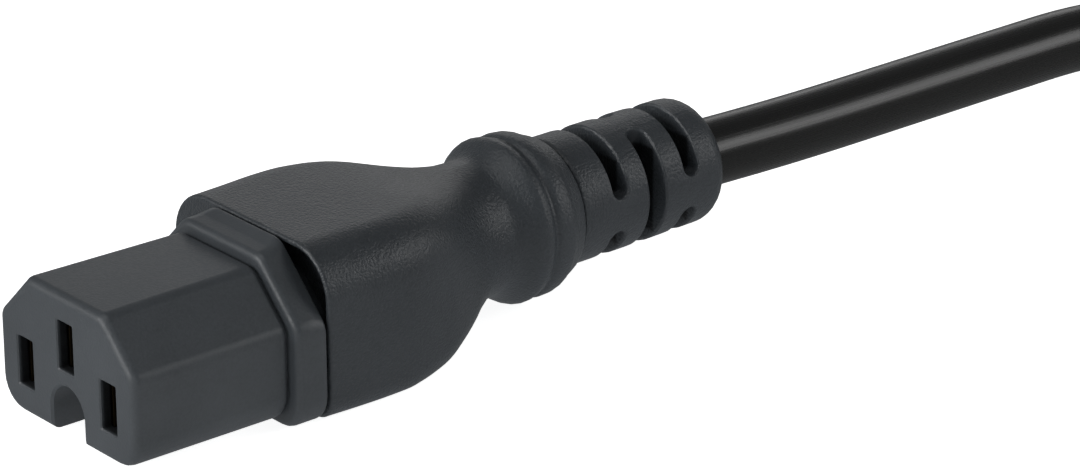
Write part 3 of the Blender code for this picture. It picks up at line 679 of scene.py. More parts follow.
@dataclass
class ReliefSlot:
    """A round-ended slot that is cut through a round strain relief, bent about its axis.

    The slot's plan is a stadium, laid on the relief's surface. Its mouth flares out in a quarter
    round: the plan grows by flare * (1 - cos t) while the radius grows by flare * sin t.
    """

    name: str
    along: float
    width: float
    middle: float
    arc: float
    radius: float
    bore: float
    axis: tuple[float, float]
    flare: float = 0.45
    flare_steps: int = 5
    flare_end: float = math.radians(78)
    past: float = 1.2
    proud: float = 0.04
    tip_steps: int = 7
    run_steps: int = 26

    def plan(self) -> np.ndarray:
        """One side of the stadium with no width yet: places along the arc, cosines and sines."""
        tip = np.linspace(0.0, np.pi / 2, self.tip_steps)
        reach = self.radius * self.arc / 2
        run = np.linspace(reach, -reach, self.run_steps)[1:-1]
        place = np.concatenate([np.full(self.tip_steps, reach), run, np.full(self.tip_steps, -reach)])
        zero = np.zeros_like(run)
        cosine = np.concatenate([np.cos(tip), zero, -np.cos(tip[::-1])])
        sine = np.concatenate([np.sin(tip), zero + 1.0, np.sin(tip[::-1])])
        return np.stack([place, cosine, sine])

    def levels(self) -> np.ndarray:
        """Rows of a radius and how far the plan has grown there."""
        t = np.linspace(0.0, self.flare_end, self.flare_steps)
        surface = self.radius + self.proud
        mouth = columns(surface - self.flare * (1 - np.sin(t)), self.flare * (1 - np.cos(t)))
        return np.vstack([[self.bore, 0.0], mouth, [self.radius + self.past, mouth[-1, 1]]])

    def cutter(self) -> Object:
        """The closed shape that cuts the slot: levels of the plan, closed by a strip of quads."""
        place, cosine, sine = self.plan()
        level = self.levels()
        reach = (self.width / 2 + level[:, 1])[:, None]
        around = place + reach * cosine
        side = reach * sine
        around = np.concatenate([around, around[:, -2:0:-1]], axis=1)
        side = np.concatenate([side, -side[:, -2:0:-1]], axis=1)
        angle = self.middle + around / self.radius
        radius = level[:, 0:1]
        grid = columns(
            self.axis[0] + radius * np.cos(angle),
            self.along + side,
            self.axis[1] + radius * np.sin(angle),
        )
        rings, count = grid.shape[:2]
        last = len(place) - 1
        strip = [(k, k + 1, count - k - 1, count - k) for k in range(1, last - 1)]
        strip += [(0, 1, count - 1), (last - 1, last, last + 1)]
        top = (rings - 1) * count
        faces = ring_faces(rings, count) + strip + [tuple(top + k for k in face) for face in strip]
        return add_mesh(self.name, grid.reshape(-1, 3), faces)


def relief_slots(first: ReliefSlot, widths: tuple[float, ...], pitch: float, narrowing: float) -> list:
    """Cutters for rows of two facing slots, every second row turned a quarter about the axis.

    Args:
        first: one slot of the first row.
        widths: each row's slot width.
        pitch: the way from one row to the next along Y.
        narrowing: how much the relief's radius falls from one row to the next.

    Returns:
        The cutters, two for each row.
    """
    return [
        replace(
            first,
            name=f"{first.name}_{row}_{side}",
            along=first.along + pitch * row,
            width=width,
            middle=first.middle + math.pi / 2 * (row % 2) + math.pi * side,
            radius=first.radius - narrowing * row,
        ).cutter()
        for row, width in enumerate(widths)
        for side in (0, 1)
    ]


def round_sections(profile: np.ndarray, axis_z: float) -> np.ndarray:
    """Rows of y and radius as rows of y and a squarish section that is a circle."""
    y, radius = profile.T
    return columns(y, radius, axis_z + radius, axis_z - radius, radius, radius)


# Sub-assemblies


@dataclass
class Cord:
    """The whole cord: the lead, its turns in the hank and the tail into the plug."""

    diameter: float = 7.4
    length: float = 1800.0
    spacing: float = 3.7
    ring_points: int = 24
    facet_gain: float = 1.006
    ring_spacing: float = 2.2
    centre_x: float = -14.0
    start_y: float = 133.0
    hank_length: float = 146.0
    turn_radius: tuple[float, ...] = (28.5, 21.6, 25.4, 21.6, 28.5)
    turn_height: tuple[float, ...] = (3.7, 4.6, 11.0, 17.4, 18.2)
    near_depth: tuple[float, ...] = (36.0, 30.0, 25.0, 22.5)
    end_points: int = 14
    run_points: int = 9
    last_points: int = 4
    slack: float = 0.4
    lead_held: float = 130.0
    tail_held: float = 110.0
    rounds: int = 280
    push_share: float = 0.28
    pull_share: float = 0.25
    bend_share: float = 0.05
    own_reach: float = 3.5
    tied_reach: float = 26.6
    tied_low: float = 5.3
    tied_half: float = 12.0
    tied_fade: float = 22.0
    # The lead from the bore to the hank, and the tail from the hank to the plug: x, y and z
    lead: tuple = (
        (0.0, 23.0, 9.3), (0.0, 30.0, 9.3), (0.0, 37.0, 9.25), (0.0, 44.0, 9.05), (0.0, 51.0, 8.8),
        (0.0, 60.0, 8.6), (0.0, 74.0, 8.5), (0.0, 88.0, 8.4), (0.1, 99.0, 8.25), (0.9, 108.0, 7.55),
        (2.5, 118.0, 6.0), (5.1, 128.0, 4.4), (7.2, 134.3, 3.78), (9.8, 143.5, 3.7),
        (12.4, 154.0, 3.7), (13.8, 163.0, 3.7),
    )
    tail: tuple = (
        (-42.0, 181.0, 16.8), (-42.0, 172.0, 17.2), (-41.6, 163.5, 18.0), (-39.5, 155.0, 19.5),
        (-34.8, 147.4, 21.5), (-27.8, 142.2, 23.8), (-19.6, 139.9, 26.3), (-11.2, 140.4, 28.6),
        (-3.6, 143.9, 30.5), (2.2, 149.8, 31.8), (5.6, 157.4, 32.6), (6.4, 165.6, 32.9),
        (6.5, 173.8, 32.9), (6.5, 182.4, 32.9),
    )

    @property
    def near_y(self) -> float:
        """Where the near ends of the hank's runs turn."""
        return self.start_y + self.turn_radius[0] + self.diameter / 2

    @property
    def far_y(self) -> float:
        """Where the far ends of the hank's runs turn."""
        return self.start_y + self.hank_length - max(self.turn_radius) - self.diameter / 2

    def turn(self, k: int) -> np.ndarray:
        """One turn: out on the right, round the far end, back on the left, round the near end.

        The far end is a half circle. The near one is a half ellipse that joins this turn's radius
        and height to the next's, each less deep than the one before, so that they cross apart.
        """
        radius, height = self.turn_radius[k], self.turn_height[k]
        last = k + 1 == len(self.turn_radius)
        half = np.linspace(0.0, np.pi, self.end_points)
        run = np.linspace(self.near_y, self.far_y, self.run_points)[1:-1]
        out = columns(radius, run, height)
        far = columns(radius * np.cos(half), self.far_y + radius * np.sin(half), height)
        back = out[::-1] * [-1, 1, 1]
        if last:
            return np.vstack([out, far, back[: self.last_points]]) + [self.centre_x, 0, 0]
        after, above = self.turn_radius[k + 1], self.turn_height[k + 1]
        mean, shift = (radius + after) / 2, (after - radius) / 2
        rise = height + (above - height) * smoothstep(0.0, np.pi, half)
        deep = self.near_y - self.near_depth[k] * np.sin(half)
        near = columns(shift - mean * np.cos(half), deep, rise)
        return np.vstack([out, far, back, near]) + [self.centre_x, 0, 0]

    def limits(self, y: np.ndarray) -> tuple[np.ndarray, np.ndarray]:
        """How far out and how low the strands may lie at each y, drawn in by the tie."""
        middle = self.start_y + self.hank_length / 2
        tied = 1.0 - smoothstep(self.tied_half, self.tied_half + self.tied_fade, np.abs(y - middle))
        low, reach = self.diameter / 2, max(self.turn_radius)
        return reach + (self.tied_reach - reach) * tied, low + (self.tied_low - low) * tied

    def route(self) -> np.ndarray:
        """The cord's centreline, its strands pushed apart until they overlap by 0.25 mm at most.

        Strands closer than a diameter push each other apart, neighbours keep their spacing, the
        fourth difference is damped so that bends stay round, and the tie and the floor hold the
        turns in from the sides and from below. Nothing holds them down. The lead and the end of
        the tail don't move.
        """
        turns = [self.turn(k) for k in range(len(self.turn_radius))]
        rows = np.vstack([np.array(self.lead), *turns, np.array(self.tail)])
        path = curve_through(rows, self.spacing)
        along = np.arange(len(path)) * self.spacing
        free = (along > self.lead_held) & (along < along[-1] - self.tail_held)
        step = np.linalg.norm(np.diff(path, axis=0), axis=1).mean()
        apart = np.abs(along[:, None] - along[None, :]) > self.own_reach * self.diameter
        for _ in range(self.rounds):
            gap = path[:, None, :] - path[None, :, :]
            distance = np.linalg.norm(gap, axis=-1) + 1e-9
            touching = apart & (distance < self.diameter)
            overlap = np.where(touching, (self.diameter - distance) / distance, 0.0)
            push = self.push_share * (gap * overlap[..., None]).sum(axis=1)
            link = np.diff(path, axis=0)
            length = np.linalg.norm(link, axis=1, keepdims=True)
            pull = self.pull_share * link * (length - step) / length
            fourth = np.zeros_like(path)
            fourth[2:-2] = path[:-4] - 4 * path[1:-3] + 6 * path[2:-2] - 4 * path[3:-1] + path[4:]
            move = push - self.bend_share * fourth
            move[:-1] += pull
            move[1:] -= pull
            path = path + np.where(free[:, None], move, 0.0)
            reach, low = self.limits(path[:, 1])
            reach += self.slack
            held = free & (path[:, 1] > self.near_y - self.diameter / 2)
            x = np.clip(path[:, 0] - self.centre_x, -reach, reach) + self.centre_x
            path[:, 0] = np.where(held, x, path[:, 0])
            path[:, 2] = np.where(free, np.maximum(path[:, 2], low), path[:, 2])
        return path

    def build(self, material: Material, pieces: list[Object]) -> Object:
        """Args:
            material: the sheath's finish.
            pieces: the plug's pieces on its far end, and the strap round its turns; not used.

        Returns:
            The cord.
        """
        path = self.route()
        fine = curve_through(path, self.ring_spacing)
        ahead = unit(np.gradient(fine, axis=0))
        side = unit(np.cross(ahead, [0.0, 0.0, 1.0]))
        up = np.cross(side, ahead)
        angle = np.linspace(0.0, 2 * np.pi, self.ring_points, endpoint=False)[:, None]
        ring = self.diameter / 2 * self.facet_gain * (
            np.cos(angle) * side[:, None, :] + np.sin(angle) * up[:, None, :]
        )
        obj = skin("cord", fine[:, None, :] + ring)
        self.lay_out(obj, fine)
        obj.data.shade_smooth()
        settle(obj, material, "cord_sheath", "cord_lead", "cord_hank", "cord_tail")
        log.info("cord: %.0f mm along its middle", run_length(fine)[-1])
        return obj

    def lay_out(self, obj: Object, path: np.ndarray) -> None:
        """A UV map with the way round in u, and metres along in v.

        A quad whose points span the seam has its u of 0 read as 1.
        """
        mesh = obj.data
        ring, spot = corner_places(mesh, self.ring_points)
        u = spot / self.ring_points
        wraps = np.zeros(len(spot), bool)
        is_quad = read_all(mesh.polygons, "loop_total") == 4
        quads = read_all(mesh.polygons, "loop_start")[is_quad][:, None] + np.arange(4)
        wide = np.ptp(spot[quads], axis=1) > 1
        wraps[quads[wide].ravel()] = True
        u = np.where(wraps & (spot == 0), 1.0, u)
        uv = columns(u, run_length(path)[ring] * MM)
        mesh.uv_layers.new(name="along").data.foreach_set("uv", uv.ravel())


@dataclass
class ContactInsert:
    """The moulded insert: the nose with its slots and keying notch, the flange and the spigot."""

    half: float = 11.55
    bottom: float = 0.82
    top: float = 16.3
    slant: float = 5.2
    left_fall: float = 0.9
    low_radius: float = 3.4
    ridge: float = 1.8
    far_ridge: float = 1.2
    length: float = 18.7
    draft: float = 0.1
    face_edge: float = 1.0
    corner_steps: int = 6
    foot_width: float = 0.5
    foot_depth: float = 0.5
    # The groove's shape: shares of its width before the flange, and of its depth
    foot: tuple = ((1.6, 0.0), (1.1, 0.12), (0.8, 1.0), (0.0, 1.0))
    flange_half: float = 12.9
    flange_top: float = 17.5
    flange_rise: float = 0.55
    flange_slant: float = 6.2
    flange_ridge: float = 2.3
    left_slant: float = 7.0
    left_ridge: float = 2.6
    flange_low_radius: float = 3.3
    flange_back: float = 22.4
    flange_edge: float = 0.75
    rear_edge: float = 0.4
    scoop: float = 0.35
    scoop_start: float = 1.5
    spigot_inset: float = 2.2
    spigot_end: float = 31.4
    pin_pitch: float = 14.0
    pin_row_z: float = 6.7
    earth_rise: float = 4.0
    slot_width: float = 2.6
    slot_height: float = 5.3
    slot_chamfer: float = 0.14
    slot_radius: float = 0.25
    cut_before: float = 0.4
    slot_lip: float = 1.2
    lip_step: float = 0.01
    cavity: tuple[float, float] = (4.0, 6.4)
    cavity_end: float = 17.7
    notch_width: float = 5.4
    notch_top: float = 6.4
    notch_floor: float = -3.0
    notch_foot: float = 0.1
    notch_before: float = 0.5
    notch_ease: float = 0.25
    notch_short: float = 0.3
    face_y: float = field(default_factory=lambda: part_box("contact_carrier")[0].y / MM)

    def nose(self, grow: np.ndarray | float, share: np.ndarray | float) -> np.ndarray:
        """Rows of half width, bottom, top, slant, low radius, ridge radius and the left's own two.

        Args:
            grow: how far each row is grown all round.
            share: the way from the face, 0, to the flange, 1, over which the left slant widens.

        Returns:
            (rows, 8), for outlines().
        """
        slant = self.slant + grow * SLANT_GAIN
        return columns(
            self.half + grow,
            self.bottom - grow,
            self.top + grow,
            slant,
            self.low_radius + grow,
            self.ridge,
            slant + self.left_fall * share,
            self.far_ridge,
        )

    def flange(self, grow: np.ndarray | float, share: np.ndarray | float) -> np.ndarray:
        """The same rows for the flange.

        Args:
            grow: how far each row is grown all round.
            share: the way from the front, 0, to the grip, 1, over which the top rises and the
                right slant is scooped away.

        Returns:
            (rows, 8), for outlines().
        """
        rise = self.flange_rise * share
        slant = grow * SLANT_GAIN + rise
        return columns(
            self.flange_half + grow,
            -grow,
            self.flange_top + grow + rise,
            self.flange_slant + slant + self.scoop * share**2,
            self.flange_low_radius + grow,
            self.flange_ridge,
            self.left_slant + slant,
            self.left_ridge,
        )

    def outlines(self, rows: np.ndarray) -> np.ndarray:
        """The six-cornered outline of each row: slanted above, round below."""
        half, bottom, top, slant, low, ridge, left_slant, left_ridge = rows.T
        x = columns(-half, half, half, half - slant, left_slant - half, -half)
        z = columns(bottom, bottom, top - slant, top, top, top - left_slant)
        radii = columns(low, low, ridge, ridge, left_ridge, left_ridge)
        return cornered(columns(x, z), radii, self.corner_steps)

    def body(self) -> Object:
        """The skin of the insert from the mating face to the spigot's end.

        The nose grows by its draft from the face to a groove at the flange's foot.
        """
        edge_y, edge = quarter(self.face_edge)
        foot_back, foot_sunk = np.array(self.foot).T
        foot_y = self.length - self.foot_width * foot_back
        foot = -self.foot_depth * foot_sunk
        front_y, front = quarter(self.flange_edge)
        rear, rear_y = quarter(self.rear_edge)
        wall = self.flange_back - self.rear_edge
        share = np.linspace(0.0, 1.0, 7)[1:]
        wall_start = self.length + self.scoop_start
        wall_y = wall_start + (wall - wall_start) * share
        rows = np.vstack(
            [
                self.nose(-edge - self.draft, 0.0),
                self.nose(foot, 1.0),
                self.flange(-front, 0.0),
                self.flange(0.0, share),
                self.flange(-rear[1:], 1.0),
                self.nose(np.full(2, -self.spigot_inset), 1.0),
            ]
        )
        back = self.flange_back
        flange_y = [self.length + front_y, wall_y, back - rear_y[1:]]
        y = np.concatenate([edge_y, foot_y, *flange_y, [back, self.spigot_end]])
        return skin("contact_insert", stacked(self.outlines(rows), self.face_y + y))

    def slot_cutter(self, name: str, x: float, z: float) -> Object:
        """A slot with a chamfered mouth that opens into the wider cavity behind the lip."""
        chamfer = self.slot_chamfer
        width, height = self.slot_width / 2, self.slot_height / 2
        wide, tall = self.cavity[0] / 2, self.cavity[1] / 2
        before = self.cut_before
        lip = self.slot_lip
        y = np.array([-before, 0.0, chamfer, lip, lip + self.lip_step, self.cavity_end])
        grow = np.array([chamfer + before, chamfer, 0.0, 0.0])
        half = np.concatenate([width + grow, [wide, wide]])
        rise = np.concatenate([height + grow, [tall, tall]])
        section = columns(half, z + rise, z - rise, self.slot_radius, self.slot_radius)
        return skin(name, stacked(squarish(section, 4, 0), self.face_y + y, x))

    def notch_cutter(self) -> Object:
        """The arched keying notch along the nose's lower side, with an eased mouth."""
        before, ease = self.notch_before, self.notch_ease
        y = np.array([-before, 0.0, ease, self.length - self.notch_short])
        grow = np.array([before + ease, ease, 0.0, 0.0])
        half = self.notch_width / 2 + grow
        section = columns(half, self.notch_top + grow, self.notch_floor, half, self.notch_foot)
        return skin("notch_cutter", stacked(squarish(section, 12, 2), self.face_y + y))

    def build(self, material: Material, brass: Material) -> None:
        """Builds the insert and gives the CAD's contact clips their brass, darkened as painted shade.
        """
        obj = self.body()
        reach = self.pin_pitch / 2
        cutters = [
            self.slot_cutter("line_slot", reach, self.pin_row_z),
            self.slot_cutter("neutral_slot", -reach, self.pin_row_z),
            self.slot_cutter("earth_slot", 0.0, self.pin_row_z + self.earth_rise),
            self.notch_cutter(),
        ]
        carve(obj, cutters)
        soften(obj, 30.0)
        settle(obj, material, "insert_plastic", "contact_carrier")
        for name in ("line_contact", "neutral_contact", "earth_contact"):
            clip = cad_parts[name]
            clip.data.materials.clear()
            clip.data.materials.append(brass)
            log.info("%s: kept from the model", name)


@dataclass
class Overmould:
    """The grip, the ball, the collar and the slotted strain relief, moulded as one piece."""

    front: float = 22.7
    edge: float = 0.35
    pocket_left: float = 0.4
    pocket_right: float = 12.35
    pocket_low: float = 4.6
    pocket_top: float = 17.6
    pocket_radius: float = 4.6
    pocket_foot: float = 1.0
    pocket_before: float = 0.6
    pocket_depth: float = 2.2
    axis_z: float = 9.2
    relief_axis_z: float = 9.35
    relief_radius: float = 7.03
    relief_end_radius: float = 6.88
    end: float = 81.2
    end_curl: float = 2.2
    bore: float = 3.95
    cut_past: float = 0.5
    narrowing: float = 0.03
    row_start: float = 66.0
    row_pitch: float = 4.95
    slot_widths: tuple[float, ...] = (2.0, 2.25, 2.0)
    slot_arc: float = math.radians(131)
    bridge: float = math.radians(-5)
    face_y: float = field(default_factory=lambda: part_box("contact_carrier")[0].y / MM)
    # From the mating face: y, half width, top, bottom, top corners, low corners
    grip: tuple = (
        (23.7, 12.9, 18.1, 0.0, 5.5, 2.8),
        (26.8, 12.95, 18.12, 0.0, 5.4, 2.65),
        (29.9, 12.97, 18.15, 0.0, 5.2, 2.6),
        (33.0, 12.88, 18.15, 0.0, 5.1, 2.6),
        (35.6, 12.47, 18.1, 0.02, 5.1, 2.85),
        (38.0, 11.85, 17.97, 0.05, 5.3, 3.2),
        (40.1, 11.2, 17.7, 0.15, 5.7, 3.65),
        (42.2, 10.3, 17.28, 0.41, 6.2, 4.3),
        (44.6, 9.15, 16.86, 0.91, 6.8, 4.9),
        (46.8, 8.15, 16.6, 1.6, 7.1, 5.8),
        (49.0, 7.52, 16.52, 1.88, 7.3, 7.0),
        (50.9, 7.35, 16.55, 1.85, 7.35, 7.35),
    )
    # The turned part, the relief and the bore: y and radius
    turned: tuple = (
        (51.5, 7.45), (52.1, 7.68), (52.7, 8.03), (53.3, 8.47), (53.9, 8.84), (54.4, 8.98),
        (54.9, 8.92), (55.3, 8.72), (55.6, 8.58), (55.8, 8.58), (56.0, 8.7), (56.3, 8.86),
        (56.8, 8.92), (57.4, 8.88), (58.0, 8.74), (58.5, 8.44), (60.1, 7.74), (60.4, 7.5),
        (60.58, 7.1), (60.7, 6.82), (60.84, 6.82), (60.98, 6.98),
    )
    relief_rows: tuple = ((61.3, 7.03), (64.0, 7.03), (71.0, 7.0), (78.4, 6.88))
    bore_rows: tuple = ((81.18, 4.4), (81.08, 4.1), (80.8, 3.95), (61.6, 3.95))

    def sections(self) -> np.ndarray:
        """Rows of y and section from the front, over the skin and back into the bore.

        The front edge is a quarter circle, the end a quarter circle of the end's curl, and the
        rest is eased between the tables' rows.
        """
        edge = rounded_front(np.array(self.grip[0]), self.front, self.edge)
        body = eased(np.vstack([self.grip, round_sections(np.array(self.turned), self.axis_z)]), 4)
        sunk, short = quarter(self.end_curl, 8)
        curled = columns(self.end - short, self.relief_end_radius - sunk)
        tail = round_sections(np.vstack([self.relief_rows, curled, self.bore_rows]), self.relief_axis_z)
        return np.vstack([edge, body, tail])

    def pocket(self) -> Object:
        """The cutter of the pocket that shows behind the flange's scooped slant."""
        half = (self.pocket_right - self.pocket_left) / 2
        row = [half, self.pocket_top, self.pocket_low, self.pocket_radius, self.pocket_foot]
        y = self.face_y + self.front + np.array([-self.pocket_before, self.pocket_depth])
        return skin("pocket", stacked(squarish(np.array([row, row])), y, self.pocket_left + half))

    def build(self, material: Material) -> None:
        """Builds the skin and cuts two long slots in each row, every second row turned a quarter."""
        rows = self.sections()
        obj = skin("overmould", stacked(squarish(rows[:, 1:]), self.face_y + rows[:, 0]))
        first = ReliefSlot(
            "slot",
            along=self.face_y + self.row_start,
            width=self.slot_widths[0],
            middle=self.bridge + math.pi / 2,
            arc=self.slot_arc,
            radius=self.relief_radius,
            bore=self.bore - self.cut_past,
            axis=(0.0, self.relief_axis_z),
        )
        slots = relief_slots(first, self.slot_widths, self.row_pitch, self.narrowing)
        carve(obj, [self.pocket(), *slots])
        soften(obj, 34.0)
        settle(obj, material, "grip_plastic", "overmould_body")


@dataclass
class HankTie:
    """A woven strap round the middle of the hank, its end pressed down on itself."""

    centre: tuple[float, float] = (-14.0, 206.0)
    half: float = 30.9
    low: float = 1.0
    high: float = 20.9
    corner: float = 4.3
    width: float = 20.0
    thickness: float = 1.1
    edge_share: float = 0.9
    sag: float = 0.5
    tab_from: float = 0.78
    tab_to: float = 0.12
    tab_gap: float = 0.02
    tab_points: int = 14

    def ribbon(self, name: str, path: np.ndarray, closed: bool) -> Object:
        """A strap along a path in the XZ plane, its section a thin rectangle with round edges.

        Args:
            name: the piece's name.
            path: (points, 2), as x and z.
            closed: whether the strap meets itself.

        Returns:
            The strap, with metres along it in v and the way across it in u.
        """
        if closed:
            ahead = unit(np.roll(path, -1, axis=0) - np.roll(path, 1, axis=0))
        else:
            ahead = unit(np.gradient(path, axis=0))
        out = np.stack([ahead[:, 1], -ahead[:, 0]], axis=1)
        radius = self.thickness / 2
        edge = radius * self.edge_share
        section = squarish(np.array([[self.width / 2, radius, -radius, edge, edge]]), 4, 8)[0]
        across, thick = section.T
        grid = columns(
            path[:, None, 0] + out[:, None, 0] * thick,
            self.centre[1] + across,
            path[:, None, 1] + out[:, None, 1] * thick,
        )
        rings, around = grid.shape[:2]
        if closed:
            obj = add_mesh(name, grid.reshape(-1, 3), ring_faces(rings, around, closed=True))
        else:
            obj = skin(name, grid)
        ring, spot = corner_places(obj.data, around)
        uv = columns(across[spot] / self.width + 0.5, run_length(path)[ring] * MM)
        obj.data.uv_layers.new(name="along").data.foreach_set("uv", uv.ravel())
        obj.data.shade_smooth()
        return obj

    def build(self, material: Material) -> list[Object]:
        """Builds the loop and the tab of its free end, and returns them."""
        section = np.array([[self.half, self.high, self.low, self.corner, self.corner]])
        loop = squarish(section, 8, 12)[0]
        on_top = (loop[:, 1] > self.high - 0.01) & (np.abs(loop[:, 0]) < self.half - self.corner)
        dip = self.sag * (1 - (loop[:, 0] / (self.half - self.corner)) ** 2)
        loop[:, 1] -= np.where(on_top, dip, 0.0)
        loop[:, 0] += self.centre[0]
        strap = self.ribbon("hank_tie_loop", loop, True)
        settle(strap, material, "tie_fabric", "hank_tie")
        x = np.linspace(-self.half * self.tab_from, -self.half * self.tab_to, self.tab_points)
        drop = self.sag * (1 - np.clip(x / (self.half - self.corner), -1, 1) ** 2)
        tab = columns(x + self.centre[0], self.high - drop + self.thickness + self.tab_gap)
        free_end = self.ribbon("hank_tie_tab", tab, False)
        settle(free_end, material, "tie_fabric")
        return [strap, free_end]


@dataclass
class Plug:
    """The moulded plug on the far end, lying on the hank with its blades away from the connector."""

    x: float = 6.5
    face_y: float = 227.0
    bottom: float = 21.9
    half: float = 13.0
    height: float = 25.0
    corner: float = 4.5
    edge: float = 0.8
    axis_rise: float = 11.0
    neck: float = 6.3
    relief: float = 5.7
    bore: float = 3.95
    blade_spacing: float = 12.7
    blade: tuple[float, float, float] = (1.5, 6.3, 18.0)
    blade_rise: float = 7.4
    blade_edge: float = 0.18
    hole_radius: float = 1.6
    hole_place: float = 14.3
    hole_reach: float = 2.0
    pin_radius: float = 2.4
    pin_length: float = 21.0
    pin_rise: float = 19.3
    seat: float = 6.0
    cut_past: float = 0.5
    slot_start: float = 41.0
    slot_pitch: float = 4.0
    slot_widths: tuple[float, ...] = (1.6, 1.6, 1.6)
    slot_arc: float = math.radians(122)
    slot_flare: float = 0.3
    ribs_a_side: int = 4
    rib_start: float = 5.2
    rib_pitch: float = 3.0
    rib_radius: float = 0.75
    rib_margin: float = 6.0
    rib_out: float = 0.1
    dome: float = 0.8
    dome_end: float = math.pi / 2 * 0.97
    # From the plug's face: y, and how far the radius passes the relief's and the bore's
    relief_rows: tuple = (
        (37.2, 0.25), (37.6, -0.25), (38.0, 0.0), (44.0, -0.05), (51.6, -0.1), (52.4, -0.35),
        (52.9, -0.9), (53.0, -1.3),
    )
    bore_rows: tuple = ((52.9, 0.1), (52.6, 0.0), (40.0, 0.0))
    # From the blade's tip: y, and how much narrower its thickness and its width are on each side
    blade_tip: tuple = ((1.6, 0.0, 0.0), (0.5, 0.28, 0.7), (0.1, 0.42, 1.1), (0.0, 0.55, 1.3))

    def body(self) -> Object:
        """The skin from the face, over the grip and the relief, and back into the bore."""
        low, top = self.bottom, self.bottom + self.height
        axis = self.bottom + self.axis_rise
        half, corner = self.half, self.corner
        front = rounded_front(np.array([0.0, half, top, low, corner, corner]), 0.0, self.edge)
        shoulders = np.array(
            [
                [12.0, half, top, low, corner, corner],
                [16.0, half - 0.3, top - 0.7, low + 0.02, 4.6, 4.5],
                [21.6, half - 1.15, top - 1.3, low + 0.15, 4.7, 4.6],
                [25.5, half - 3.0, top - 4.0, low + 0.8, 5.0, 4.8],
                [28.8, half - 4.5, top - 4.7, low + 1.5, 5.3, 5.1],
                [32.4, half - 6.2, top - 6.8, low + 3.3, 5.7, 5.6],
                [36.0, self.neck, axis + self.neck, axis - self.neck, self.neck, self.neck],
            ]
        )
        skin_rows = np.array(self.relief_rows) + [0.0, self.relief]
        bore_rows = np.array(self.bore_rows) + [0.0, self.bore]
        tail = round_sections(np.vstack([skin_rows, bore_rows]), axis)
        rows = np.vstack([front, eased(shoulders, 4), tail])
        grid = stacked(squarish(rows[:, 1:], 9, 4), self.face_y - rows[:, 0], self.x)
        return skin("plug_shell", grid)

    def ribs(self) -> list[Object]:
        """Cutters for the shallow finger grooves on the plug's sides.

        Each is an upright rod whose radius falls to its ends as the square root of 1 - h^8.
        """
        height = np.linspace(-1.0, 1.0, 9)[:, None]
        radius = self.rib_radius * np.sqrt(np.clip(1 - height**8, 0.02, 1.0))
        z = self.bottom + self.height / 2 + height * (self.height / 2 - self.rib_margin)
        t = np.linspace(0.0, 2 * np.pi, 16, endpoint=False)
        cutters = []
        for side in (-1, 1):
            for rib in range(self.ribs_a_side):
                x = self.x + side * (self.half + self.rib_out) + radius * np.cos(t)
                y = self.face_y - self.rib_start - self.rib_pitch * rib + radius * np.sin(t)
                cutters.append(skin(f"rib_{side + 1}_{rib}", columns(x, y, z)))
        return cutters

    def slots(self) -> list[Object]:
        """Cutters for the relief's rows of slots."""
        first = ReliefSlot(
            "plug_slot",
            along=self.face_y - self.slot_start,
            width=self.slot_widths[0],
            middle=0.0,
            arc=self.slot_arc,
            radius=self.relief,
            bore=self.bore - self.cut_past,
            axis=(self.x, self.bottom + self.axis_rise),
            flare=self.slot_flare,
        )
        return relief_slots(first, self.slot_widths, -self.slot_pitch, 0.0)

    def flat_blade(self, name: str, x: float) -> Object:
        """A blade with a chamfered tip and a round hole, its section a rectangle with eased edges."""
        thick, wide, length = self.blade
        z = self.bottom + self.blade_rise
        back, thinner, narrower = np.vstack([[length + self.seat, 0.0, 0.0], self.blade_tip]).T
        half = thick / 2 - thinner
        rise = wide / 2 - narrower
        section = columns(half, z + rise, z - rise, self.blade_edge, self.blade_edge)
        obj = skin(name, stacked(squarish(section, 4, 2), self.face_y + length - back, x))
        t = np.linspace(0.0, 2 * np.pi, 32, endpoint=False)
        reach = np.array([-self.hole_reach, self.hole_reach])[:, None]
        hole = columns(
            x + reach,
            self.face_y + self.hole_place + self.hole_radius * np.cos(t),
            z + self.hole_radius * np.sin(t),
        )
        carve(obj, [skin(name + "_hole", hole)])
        soften(obj, 40.0)
        return obj

    def earth_pin(self) -> Object:
        """A round pin with a domed tip."""
        r, length = self.pin_radius, self.pin_length
        t = np.linspace(0.0, self.dome_end, 9)
        dome = columns(length - r * self.dome * (1 - np.sin(t)), r * np.cos(t))
        profile = np.vstack([[-self.seat, r], [0.0, r], [length * 0.6, r], dome])
        rows = round_sections(profile, self.bottom + self.pin_rise)
        grid = stacked(squarish(rows[:, 1:], 8, 0), self.face_y + rows[:, 0], self.x)
        obj = skin("earth_pin", grid)
        soften(obj, 40.0)
        return obj

    def build(self, plastic: Material, metal: Material) -> list[Object]:
        """Builds the plug and returns its pieces."""
        shell = self.body()
        carve(shell, self.ribs() + self.slots())
        soften(shell, 34.0)
        settle(shell, plastic, "plug_plastic", "plug_body")
        half = self.blade_spacing / 2
        contacts = {
            "plug_line_blade": self.flat_blade("line_blade", self.x - half),
            "plug_neutral_blade": self.flat_blade("neutral_blade", self.x + half),
            "plug_earth_pin": self.earth_pin(),
        }
        for node, contact in contacts.items():
            settle(contact, metal, "nickel", node)
        return [shell, *contacts.values()]


# Camera, floor and light


